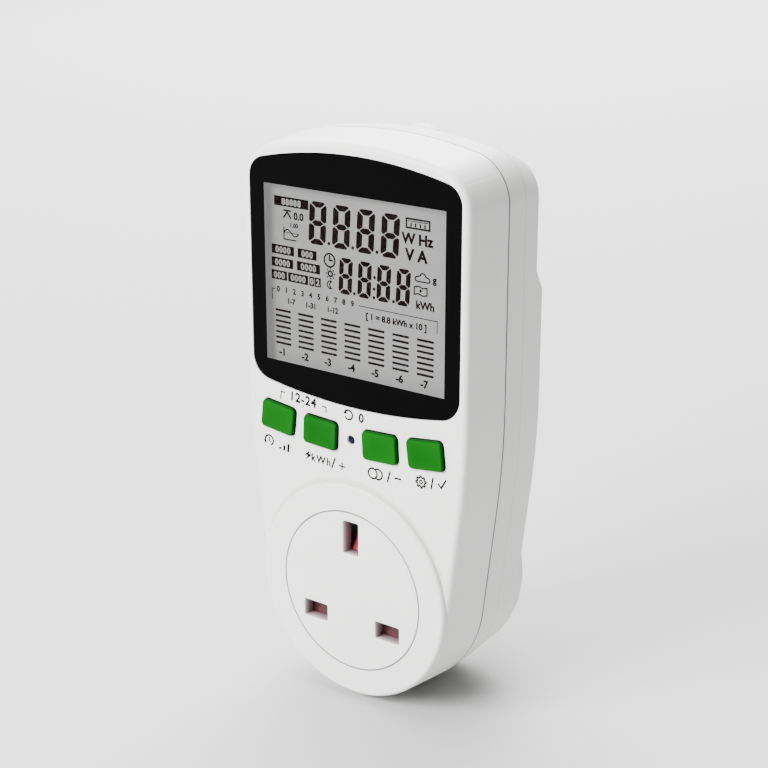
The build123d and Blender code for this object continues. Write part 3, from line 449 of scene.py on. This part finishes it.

# The display glass is a sandwich of two plates with a grey reflector behind. Its front
# is a soft silver grey, darker to the left with painted shade, and part of its light is a
# painted glow of its own. A milky diffuser lies behind it.
# Painted shade: the display's front is darker towards its left.
left_shade = (0.78, 0.78, 0.77)
glass_shades = [(-29.0, left_shade), (8.0, white)]
# A painted glow: the display's front gives off some light of its own.
painted_glow_colour = (1, 1, 0.99, 1)
painted_glow_strength = 0.26
glass_grey = surface(
    "display_grey", (0.11, 0.11, 0.109), 0.4,
    grain=0.12, relief=0.0008, mottle=0.03, gloss_change=0.03, sheen=0.1,
)
tinted(glass_grey, along(glass_grey, "X"), glass_shades)
glass_shader = glass_grey.node_tree.nodes["Principled BSDF"]
glass_shader.inputs["Emission Color"].default_value = painted_glow_colour
glass_shader.inputs["Emission Strength"].default_value = painted_glow_strength
frame["nodes"]["lcd_glass"].data.materials[0] = glass_grey

# The display's figures are etched electrodes under the front plate: dark brown when on.
# Each is a thin film on the glass. Four large figures stand over four smaller ones.
ink_front = -31.33
ink_back = -31.3
figure_ink = surface(
    "figure_ink", (0.0042, 0.0018, 0.0018), 0.5, grain=0.2, relief=0.0005, mottle=0.15, sheen=0.01
)
figure_lean = 0.054


def leaning(points, x, z):
    """Puts points of a figure at a place, with the figures' slight slant."""
    return [(x + px + pz * figure_lean, z + pz) for px, pz in points]


def figure_eight(x, z, width, height, side, level, gap, cut):
    """The seven segments of one figure, from the lower left corner of the figure."""
    half = height / 2
    edge = cut / 2 - gap / 2
    corner = cut / 2 + gap * 0.6
    tip = side * 0.4 + gap
    shoulder = side + gap / 2
    upper_left = [
        (0, half + cut / 2), (side * 0.35, half + gap), (side, half + level / 2 + gap),
        (side, height - level - gap * 1.6), (edge, height - cut / 2 - gap), (0, height - cut),
    ]
    top = [
        (cut, height), (corner, height - cut / 2 + gap * 0.2), (side + gap, height - level),
        (width - side - gap, height - level), (width - corner, height - cut / 2 + gap * 0.2),
        (width - cut, height),
    ]
    middle = [
        (tip, half), (shoulder, half - level / 2), (width - shoulder, half - level / 2),
        (width - tip, half), (width - shoulder, half + level / 2), (shoulder, half + level / 2),
    ]
    upper_right = [(width - px, pz) for px, pz in upper_left[::-1]]
    below = [[(px, height - pz) for px, pz in segment[::-1]] for segment in (upper_left, upper_right, top)]
    return [leaning(segment, x, z) for segment in [upper_left, upper_right, top, middle] + below]


def round_dot(x, z, radius, steps=20):
    """A round dot's outline."""
    turns = [2 * pi * i / steps for i in range(steps)]
    return [(x + radius * cos(turn), z + radius * sin(turn)) for turn in turns]


large_figure = {"width": 5.2, "height": 10.4, "side": 1.7, "level": 1.4, "gap": 0.16, "cut": 1.0}
large_left, large_low, large_pitch = -14.95, 85.0, 7.13
large_point, large_points = 0.42, [(-8.7, 85.8), (-1.6, 85.8), (5.5, 85.8)]
small_figure = {"width": 3.95, "height": 8.8, "side": 1.32, "level": 1.2, "gap": 0.13, "cut": 0.8}
small_left, small_low, small_pitch = -5.95, 74.2, 5.6
small_point, small_points = 0.4, [(-1.15, 74.8), (10.3, 74.8), (4.6, 74.8), (4.65, 76.85), (4.8, 79.65)]
figures = bmesh.new()
for count in range(4):
    for outline in figure_eight(large_left + large_pitch * count, large_low, **large_figure):
        add_plate(figures, outline, ink_front, ink_back)
    for outline in figure_eight(small_left + small_pitch * count, small_low, **small_figure):
        add_plate(figures, outline, ink_front, ink_back)
for radius, places in ((large_point, large_points), (small_point, small_points)):
    for x, z in places:
        add_plate(figures, round_dot(x, z, radius), ink_front, ink_back)
bmesh.ops.recalc_face_normals(figures, faces=figures.faces)
settle(mesh_piece("display_figures", figures, figure_ink), "case", "lcd_glass")


# The bar chart at the foot of the display: seven columns of seven short bars, grown by
# one tree over a grid of points and turned to plain mesh.
def grown(name, tree, values, material):
    """Runs a tree of geometry nodes with its named inputs and keeps the result as plain mesh."""
    piece = bpy.data.objects.new(name, bpy.data.meshes.new(name + "_seed"))
    scene.collection.objects.link(piece)
    growth = piece.modifiers.new("growth", "NODES")
    growth.node_group = tree
    for socket in tree.interface.items_tree:
        if socket.item_type == "SOCKET" and socket.in_out == "INPUT" and socket.name in values:
            growth[socket.identifier] = values[socket.name]
    graph = bpy.context.evaluated_depsgraph_get()
    result = bpy.data.meshes.new_from_object(piece.evaluated_get(graph))
    piece.modifiers.clear()
    piece.data = result
    if not result.materials:
        result.materials.append(material)
    return piece


def new_tree(name, inputs, material):
    """An empty tree with its named inputs, its group nodes, and the two nodes that close it."""
    tree = bpy.data.node_groups.new(name, "GeometryNodeTree")
    tree.interface.new_socket("Geometry", in_out="INPUT", socket_type="NodeSocketGeometry")
    tree.interface.new_socket("Geometry", in_out="OUTPUT", socket_type="NodeSocketGeometry")
    for label, kind in inputs:
        tree.interface.new_socket(label, in_out="INPUT", socket_type=kind)
    source = tree.nodes.new("NodeGroupInput")
    realize = tree.nodes.new("GeometryNodeRealizeInstances")
    paint = tree.nodes.new("GeometryNodeSetMaterial")
    paint.inputs["Material"].default_value = material
    result = tree.nodes.new("NodeGroupOutput")
    tree.links.new(realize.outputs[0], paint.inputs["Geometry"])
    tree.links.new(paint.outputs[0], result.inputs[0])
    return tree, source, realize


number = "NodeSocketFloat"
whole = "NodeSocketInt"
vector = "NodeSocketVector"
chart_inputs = [
    ("Columns", whole), ("Rows", whole), ("Span", number), ("Rise", number),
    ("Bar", vector), ("Middle", vector),
]
grid_links = (("Columns", "Vertices X"), ("Rows", "Vertices Y"), ("Span", "Size X"), ("Rise", "Size Y"))
column_count = 7
row_count = 7
chart_span = 42.65
chart_rise = 8.31
bar_width = 4.77
bar_height = 0.56
chart_x, chart_z = -1.87, 62.77
chart_tree, chart_in, chart_out = new_tree("bar_chart", chart_inputs, figure_ink)
grid = chart_tree.nodes.new("GeometryNodeMeshGrid")
bar = chart_tree.nodes.new("GeometryNodeMeshCube")
stand = chart_tree.nodes.new("GeometryNodeTransform")
stand.inputs["Rotation"].default_value = (radians(90), 0, 0)
spread = chart_tree.nodes.new("GeometryNodeInstanceOnPoints")
for label, socket in grid_links:
    chart_tree.links.new(chart_in.outputs[label], grid.inputs[socket])
chart_tree.links.new(chart_in.outputs["Bar"], bar.inputs["Size"])
chart_tree.links.new(chart_in.outputs["Middle"], stand.inputs["Translation"])
chart_tree.links.new(grid.outputs["Mesh"], stand.inputs["Geometry"])
chart_tree.links.new(stand.outputs[0], spread.inputs["Points"])
chart_tree.links.new(bar.outputs["Mesh"], spread.inputs["Instance"])
chart_tree.links.new(spread.outputs[0], chart_out.inputs[0])
chart = grown("bar_chart", chart_tree, {
    "Columns": column_count, "Rows": row_count, "Span": chart_span * mm, "Rise": chart_rise * mm,
    "Bar": (bar_width * mm, (ink_back - ink_front) * mm, bar_height * mm),
    "Middle": (chart_x * mm, (ink_front + ink_back) / 2 * mm, chart_z * mm),
}, figure_ink)
settle(chart, "case", "lcd_glass")


# Small signs on the display: numbers, unit signs and picture signs, drawn thin, and the
# dark blocks on the left with light figures left out of them.
def band(points, width, closed=False):
    """Outline of a drawn line with square ends, or the two outlines of a closed one."""
    sharpest = 0.35
    left = []
    right = []
    last = len(points) - 1
    for i, (x, z) in enumerate(points):
        before = points[i - 1] if i or closed else None
        after = points[(i + 1) % len(points)] if i < last or closed else None
        arms = []
        if before:
            arms.append((x - before[0], z - before[1]))
        if after:
            arms.append((after[0] - x, after[1] - z))
        arms = [(dx / hypot(dx, dz), dz / hypot(dx, dz)) for dx, dz in arms]
        ax = sum(dx for dx, dz in arms) / len(arms)
        az = sum(dz for dx, dz in arms) / len(arms)
        size = max(sharpest, ax * ax + az * az)
        left.append((x - az / size * width / 2, z + ax / size * width / 2))
        right.append((x + az / size * width / 2, z - ax / size * width / 2))
    if closed:
        return left, right
    return right + left[::-1]


def add_line(shape, points, width, depths, closed=False):
    """Draws one line or closed loop as a thin film."""
    if closed:
        add_ring(shape, *band(points, width, True), *depths)
    else:
        add_plate(shape, band(points, width), *depths)


def lettered(name, text, x, z, size, material, depths, turn=0.0, weight=0.038, spacing=1.0):
    """Numbers or a unit sign in the plain built-in type, as mesh, standing on the front."""
    words = bpy.data.curves.new(name, "FONT")
    words.body = text
    words.size = size * mm
    words.align_x = "CENTER"
    words.space_character = spacing
    words.extrude = abs(depths[1] - depths[0]) / 2 * mm
    words.offset = size * weight * mm
    words.resolution_u = 3
    holder = bpy.data.objects.new(name, words)
    scene.collection.objects.link(holder)
    graph = bpy.context.evaluated_depsgraph_get()
    mesh = bpy.data.meshes.new_from_object(holder.evaluated_get(graph))
    bpy.data.objects.remove(holder)
    place = Vector((x, (depths[0] + depths[1]) / 2, z)) * mm
    upright = Matrix.Rotation(-turn, 4, "Y") @ Matrix.Rotation(radians(90), 4, "X")
    mesh.transform(Matrix.Translation(place) @ upright)
    mesh.materials.clear()
    mesh.materials.append(material)
    piece = bpy.data.objects.new(name, mesh)
    scene.collection.objects.link(piece)
    return piece


def arc_points(x, z, radius, start, end, steps=16):
    """Points along an arc, by its angles in degrees."""
    angles = [radians(start + (end - start) * i / steps) for i in range(steps + 1)]
    return [(x + radius * cos(a), z + radius * sin(a)) for a in angles]


def placed(points, x, z):
    """Points of a sign, put in place."""
    return [(x + px, z + pz) for px, pz in points]


ink = (ink_front, ink_back)
bold, thin, fine, faint, hair = 0.42, 0.32, 0.3, 0.2, 0.16
signs = bmesh.new()
blocks = [
    (-25.4, 92.95, -14.8, 95.3), (-26.4, 81.0, -19.45, 83.3), (-18.3, 81.0, -12.5, 83.3),
    (-26.5, 77.8, -19.8, 80.1), (-18.6, 77.8, -11.5, 80.1), (-26.6, 74.6, -21.8, 76.9),
    (-21.4, 74.6, -15.2, 76.9), (-14.8, 74.6, -13.3, 76.9), (-13.1, 74.6, -11.3, 76.9),
]
for x0, z0, x1, z1 in blocks:
    add_plate(signs, [(x0, z0), (x1, z0), (x1, z1), (x0, z1)], *ink)

clock = (-8.55, 81.75)
add_line(signs, round_dot(*clock, 1.6, 32), bold, ink, True)
add_line(signs, placed([(0, 1.25), (0, 0), (1, 0)], *clock), bold, ink)

sun = (-8.35, 78.5)
add_line(signs, round_dot(*sun, 0.62, 20), bold, ink, True)
for step in range(8):
    ray = [(reach * cos(pi / 4 * step), reach * sin(pi / 4 * step)) for reach in (0.95, 1.45)]
    add_line(signs, placed(ray, *sun), fine, ink)

moon = arc_points(-8.35, 75.8, 0.95, 60, 300, 16) + arc_points(-7.75, 75.8, 0.85, 258, 102, 12)
add_line(signs, moon, fine, ink, True)

wave_left = -22.5
wave_middle = 86.65
wave_steps = 24
wave = []
for step in range(wave_steps + 1):
    wave.append((wave_left + 4.6 * step / wave_steps, wave_middle + 0.75 * sin(2 * pi * step / wave_steps)))
add_line(signs, [(wave_left, 87.9), (wave_left, 84.95), (-18.7, 84.95)], thin, ink)
add_line(signs, wave, thin, ink)
add_line(signs, [(-22.7, wave_middle), (-17.9, wave_middle)], hair, ink)

bracket_top = 72.1
add_line(signs, [(-26.6, 69.3), (-26.6, bracket_top), (-25.6, bracket_top)], faint, ink)
add_line(signs, [(0.1, bracket_top), (22.7, bracket_top), (22.7, 69.2)], faint, ink)

bank_note = [
    (16.2, 79.3), (17.4, 79.6), (18.6, 79.2), (19.8, 79.45),
    (19.8, 77.7), (18.6, 77.45), (17.4, 77.85), (16.2, 77.55),
]
add_line(signs, bank_note, thin, ink, True)
add_plate(signs, round_dot(18.0, 78.55, 0.36), *ink)
cloud = arc_points(17.0, 81.3, 0.55, 110, 270, 8) + arc_points(20.1, 81.25, 0.5, 270, 420, 8)
cloud += arc_points(18.6, 82.0, 0.75, 10, 170, 8)
add_line(signs, cloud, thin, ink, True)

meter = (17.15, 93.95)
add_line(signs, placed([(-3.25, -1.05), (3.25, -1.05), (3.25, 1.05), (-3.25, 1.05)], *meter), bold, ink, True)
for tick in (-1.95, -0.65, 0.65, 1.95):
    add_line(signs, placed([(tick, -0.75), (tick, 0.15)], *meter), 0.4, ink)
add_line(signs, placed([(-2.95, 0.55), (2.95, 0.55)], *meter), faint, ink)

peak = (-21.4, 91.0)
add_line(signs, placed([(-1.2, -0.9), (0, 0.7), (1.2, -0.9)], *peak), bold, ink)
add_line(signs, placed([(-1.2, 1.0), (1.2, 1.0)], *peak), bold, ink)
bmesh.ops.recalc_face_normals(signs, faces=signs.faces)
settle(mesh_piece("display_signs", signs, figure_ink), "case", "lcd_glass")

sign_words = [
    ("W Hz", 17.0, 89.2, 3.5), ("V A", 16.7, 85.3, 3.9), ("kWh", 19.3, 74.3, 2.6), ("g", 21.9, 81.0, 2.3),
    ("0.0", -17.9, 90.1, 2.5), ("1.00", -19.4, 88.1, 1.5),
    ("0   1   2   3   4   5   6   7   8   9", -13.2, 71.6, 1.9),
    ("1-7      1-31      1-12", -14.0, 69.0, 1.9), ("[ 1 = 8.8 kWh x 10 ]", 11.0, 69.3, 2.1),
]
for count, (text, x, z, size) in enumerate(sign_words):
    words = lettered(f"display_words_{count}", text, x, z, size, figure_ink, ink)
    settle(words, "case", "lcd_glass")

label_left, label_low, label_size = -23.6, 55.5, 2.6
for count in range(column_count):
    x = label_left + large_pitch * count
    label = lettered(f"column_number_{count + 1}", f"-{count + 1}", x, label_low, label_size, figure_ink, ink)
    settle(label, "case", "lcd_glass")

left_out = (ink_front - 0.01, ink_front)
block_figure_rise, block_figure_size, block_figure_spacing = 0.42, 2.1, 1.15
block_figures = ["88888", "0000", "000", "0000", "0000", "000", "0000", "0", "2"]
for count, ((x0, z0, x1, z1), text) in enumerate(zip(blocks, block_figures)):
    figure = lettered(
        f"block_figures_{count}", text, (x0 + x1) / 2, z0 + block_figure_rise, block_figure_size,
        glass_grey, left_out, spacing=block_figure_spacing,
    )
    settle(figure, "case", "lcd_glass")

# The keys are four green caps with rounded edges, each on its own spring dome. The top is
# satin, with a painted highlight towards its edges, and painted shade at the very edges and on the sides in
# their gaps.
key_places = {
    "history_key": (-22.75, 40.37, -6.8), "plus_key": (-9.5, 39.26, -2.74),
    "minus_key": (8.5, 39.26, 2.74), "set_key": (21.75, 40.37, 6.8),
}
key_half_width = 5.1
key_half_height = 3.68
# Painted highlight towards each key's edges, and painted shade right at them.
rim_highlight_and_shade = [
    (-2.6, (0.8, 0.88, 0.8)), (-1.3, (0.92, 0.95, 0.92)), (-0.75, white),
    (-0.4, white), (-0.15, (0.6, 0.6, 0.6)),
]
# Painted shade on each key's sides, down in their gaps.
side_gap_shade = [(-34.9, white), (-34.6, white), (-34.3, (0.3, 0.3, 0.3)), (-33.8, (0.12, 0.12, 0.12))]


def edge_distance(material, x, z, slope):
    """How far a point lies outside a key's edges. On the key it is below nought."""
    place = node_in(material, "ShaderNodeTexCoord")
    turned = node_in(material, "ShaderNodeMapping", vector_type="TEXTURE")
    turned.inputs["Location"].default_value = (x * mm, 0, z * mm)
    turned.inputs["Rotation"].default_value = (0, -radians(slope), 0)
    split = node_in(material, "ShaderNodeSeparateXYZ")
    material.node_tree.links.new(place.outputs["Object"], turned.inputs["Vector"])
    material.node_tree.links.new(turned.outputs["Vector"], split.inputs[0])
    past = []
    for axis, half in (("X", key_half_width), ("Z", key_half_height)):
        size = computed(material, "ABSOLUTE", split.outputs[axis])
        past.append(computed(material, "SUBTRACT", size, half * mm))
    return computed(material, "MAXIMUM", *past)


for node, spot in key_places.items():
    key_green = surface(
        node + "_green", (0.0022, 0.08, 0.0042), 0.5, grain=0.3, relief=0.004, mottle=0.12, sheen=0.025
    )
    tinted(key_green, along(key_green, "Y"), side_gap_shade)
    tinted(key_green, edge_distance(key_green, *spot), rim_highlight_and_shade)
    softened(node, node.replace("_key", "_key_cap"), key_green, crease=50)
reset_blue = surface(
    "reset_blue", (0.006, 0.0045, 0.018), 0.4, grain=0.3, relief=0.004, mottle=0.1, sheen=0.05
)
softened("reset_plunger", "reset_button", reset_blue)

# The printed signs on the front are thin grey-black ink: a bracket with numbers over the left
# keys, a turning arrow over the reset hole and a sign under each key.
print_depths = (-33.815, -33.8)
print_ink = surface(
    "print_ink", (0.0065, 0.006, 0.006), 0.5, grain=0.2, relief=0.001, mottle=0.12, sheen=0.03
)
print_line = 0.48
sign_size = 1.18
over_slope, outer_left, inner_left, inner_right, outer_right = -2.0, -6.8, -2.74, 2.74, 6.8
marks = bmesh.new()


def tilted(points, x, z, slope):
    """Points of a sign at its printed size, turned with the row of keys and put in place."""
    turn = radians(slope)
    points = [(px * sign_size, pz * sign_size) for px, pz in points]
    return [(x + px * cos(turn) - pz * sin(turn), z + px * sin(turn) + pz * cos(turn)) for px, pz in points]


def draw(points, spot, share=1.0, closed=False):
    """A printed line of a sign, with its width as a share of the usual one."""
    add_line(marks, tilted(points, *spot), print_line * share, print_depths, closed)


def fill(points, spot):
    """A printed area of a sign."""
    add_plate(marks, tilted(points, *spot), *print_depths)


bracket_line = print_line * 0.75
add_line(marks, [(-22.4, 45.1), (-22.2, 47.1), (-20.9, 47.0)], bracket_line, print_depths)
add_line(marks, [(-9.4, 45.9), (-8.1, 45.8), (-8.1, 44.4)], bracket_line, print_depths)

reset_arrow = (-1.2, 45.35, over_slope)
draw(arc_points(0, 0, 1.0, 150, -150, 24), reset_arrow)
fill([(-1.35, 0.0), (-0.85, 1.05), (-0.3, 0.15)], reset_arrow)

past_clock = (-26.4, 33.45, outer_left)
draw(arc_points(0, 0, 1.1, 215, -60, 24), past_clock)
fill([(-1.6, -0.15), (-0.6, -0.35), (-0.95, -1.15)], past_clock)
draw([(0, 0.7), (0, 0), (0.5, -0.35)], past_clock, 0.85)
small_bars = (-22.8, 32.95, outer_left)
for count, height in enumerate((0.5, 1.2, 1.9)):
    draw([(1.1 * count, -0.95), (1.1 * count, height - 0.95)], small_bars, 1.5)

stroke = [(-0.45, -1.25), (0.35, 1.25)]
bolt = [(0.65, 1.35), (-1.0, -0.2), (-0.15, -0.2), (-0.6, -1.35), (1.0, 0.25), (0.15, 0.25)]
plus = [
    (-0.85, -0.17), (-0.17, -0.17), (-0.17, -0.85), (0.17, -0.85), (0.17, -0.17), (0.85, -0.17),
    (0.85, 0.17), (0.17, 0.17), (0.17, 0.85), (-0.17, 0.85), (-0.17, 0.17), (-0.85, 0.17),
]
fill(bolt, (-13.9, 32.35, inner_left))
draw(stroke, (-5.9, 31.9, inner_left))
fill(plus, (-3.3, 31.7, inner_left))

coins = (6.7, 32.1, inner_right)
draw(round_dot(-0.55, 0, 1.1, 28), coins, closed=True)
draw(arc_points(0.75, 0, 1.1, -118, 118, 24), coins)
draw(stroke, (10.9, 32.3, inner_right))
draw([(-0.85, 0), (0.85, 0)], (13.5, 32.4, inner_right))

wheel = (20.3, 33.2, outer_right)
teeth = []
for step in range(8):
    for part, radius in ((-0.30, 0.9), (-0.17, 1.25), (0.17, 1.25), (0.30, 0.9)):
        angle = pi / 4 * (step + part)
        teeth.append((radius * cos(angle), radius * sin(angle)))
draw(teeth, wheel, 0.85, closed=True)
draw(round_dot(0, 0, 0.35, 16), wheel, 0.8, closed=True)
draw(stroke, (23.5, 33.55, outer_right))
draw([(-1.0, 0.1), (-0.3, -0.8), (1.1, 1.0)], (26.3, 34.0, outer_right))
bmesh.ops.recalc_face_normals(marks, faces=marks.faces)
settle(mesh_piece("front_print", marks, print_ink), "case", "front_shell")

word_weight = 0.036
front_words = [
    ("12-24", -15.4, 45.25, 3.3, -3.5, 1.12), ("0", 2.6, 44.2, 3.2, over_slope, 1.0),
    ("kWh", -9.9, 31.0, 2.7, inner_left, 1.25),
]
for count, (text, x, z, size, slope, spacing) in enumerate(front_words):
    word = lettered(
        f"front_numbers_{count}", text, x, z, size, print_ink, print_depths,
        turn=radians(slope), weight=word_weight, spacing=spacing,
    )
    settle(word, "case", "front_shell")

# The socket face is a round white insert with three ways, and the shutter behind it is
# red plastic that slides down when an earth pin enters.
# Painted shade darkens the ways' walls inwards, with a painted red cast from the shutter.
way_shade_and_red_cast = [
    (-34.8, white), (-34.45, (0.75, 0.67, 0.7)), (-33.3, (0.38, 0.28, 0.31)), (-31.7, (0.12, 0.06, 0.07)),
]
# Painted shade in the gap round the insert.
face_gap_shade = [(20.0, white), (20.4, white), (20.52, gap_shade), (20.7, gap_shade)]
socket_white = surface("socket_white", case_white, 0.42, grain=0.25, relief=0.0025, mottle=0.012)
tinted(socket_white, along(socket_white, "Y"), way_shade_and_red_cast)
tinted(socket_white, outwards(socket_white), face_gap_shade)
softened("socket_insert", "socket_face", socket_white)

# Painted shade: the shutter is darker where it shows at the back of the ways.
pad_shades = [
    (-10.6, (0.22, 0.75, 0.7)), (-8.4, (0.13, 0.26, 0.28)), (-6.3, (0.04, 0.06, 0.06)),
    (4.0, (0.2, 0.2, 0.2)), (9.0, white),
]
shutter_red = surface("shutter_red", (0.3, 0.018, 0.03), 0.4, grain=0.3, relief=0.004, mottle=0.08)
tinted(shutter_red, along(shutter_red, "Z"), pad_shades)
softened("shutter", "shutter_slide", shutter_red)

# The shutter's return spring is one steel coil, whose lower end stands on the insert.
# It gets a mesh of its own.
spring_steel = surface("spring_steel", (0.6, 0.6, 0.6), 0.25, grain=0.3, metal=1.0)
coil = softened("shutter_spring", "spring_coil", spring_steel)
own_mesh(coil)

# The plug pins are machined brass with a satin of fine lengthwise lines. The two line
# pins have black sleeves next to the case, so that no metal is live when half drawn.
drawn_along = (1, 0.08, 1)
pin_brass = surface(
    "pin_brass", (0.6, 0.42, 0.17), 0.26, grain=0.5, relief=0.003, mottle=0.05, metal=1.0, stretch=drawn_along
)
for node in ("neutral_pin", "live_pin", "earth_pin"):
    softened(node, node + "_blade", pin_brass)
sleeve_black = surface("sleeve_black", (0.006, 0.006, 0.006), 0.42, grain=0.3, sheen=0.2)
softened("pin_sleeves", "pin_sleeve_tubes", sleeve_black)

# Inside the case nothing is dressed further: every part keeps its shape from the frame
# and gets the finish of what it is made of.
strip_layers = {"grain": 0.1, "stretch": (1, 1, 0.02), "mottle": 0.3}
bare_metal = {"metal": 1.0}
inside = {
    "lcd_frame": ("frame_white", (0.7, 0.7, 0.69), 0.5, {}),
    "lcd_diffuser": ("diffuser_milk", (0.8, 0.8, 0.76), 0.4, {}),
    "contact_strips": ("strip_rubber", (0.3, 0.1, 0.1), 0.6, strip_layers),
    "main_board": ("board_green", (0.02, 0.14, 0.05), 0.35, {"mottle": 0.3, "grain": 0.8, "relief": 0.02}),
    "keypad_sheet": ("keypad_silicone", (0.5, 0.5, 0.48), 0.65, {}),
    "reset_switch": ("switch_black", (0.02, 0.02, 0.02), 0.45, {}),
    "contact_housing": ("housing_white", (0.68, 0.68, 0.66), 0.5, {}),
    "neutral_contact": ("contact_bronze", (0.72, 0.5, 0.25), 0.3, bare_metal),
    "pin_retainer": ("retainer_white", (0.62, 0.62, 0.6), 0.55, {}),
    "shunt_strip": ("shunt_copper", (0.62, 0.36, 0.24), 0.3, bare_metal),
    "power_board": ("board_tan", (0.42, 0.32, 0.16), 0.45, {"mottle": 0.15, "grain": 0.6}),
    "dropper_capacitor": ("capacitor_yellow", (0.72, 0.5, 0.05), 0.35, {}),
    "varistor": ("varistor_blue", (0.03, 0.08, 0.35), 0.25, {"grain": 1.2, "relief": 0.03}),
    "smoothing_capacitor": ("can_sleeve", (0.03, 0.03, 0.05), 0.2, {}),
    "backup_battery": ("battery_green", (0.04, 0.2, 0.08), 0.25, {}),
    "film_resistors": ("resistor_lacquer", (0.3, 0.5, 0.6), 0.3, {}),
    "metering_chip": ("package_black", (0.018, 0.018, 0.018), 0.55, {}),
    "timing_crystal": ("crystal_can", (0.7, 0.7, 0.7), 0.2, bare_metal),
    "mains_terminal": ("terminal_green", (0.03, 0.18, 0.06), 0.4, {}),
    "live_lead": ("lead_brown", (0.2, 0.08, 0.03), 0.4, {}),
    "neutral_lead": ("lead_blue", (0.03, 0.08, 0.4), 0.4, {}),
    "display_board_screws": ("screw_zinc", (0.6, 0.6, 0.6), 0.3, bare_metal),
}
inside_alike = {
    "neutral_contact": ("live_contact", "earth_contact"),
    "metering_chip": ("controller_chip", "board_link"),
    "display_board_screws": ("power_board_screws", "socket_screws", "retainer_screws", "case_screws"),
}
for node, (name, colour, rough, more) in inside.items():
    finish = surface(name, colour, rough, **more)
    for member in (node,) + inside_alike.get(node, ()):
        frame["nodes"][member].data.materials[0] = finish
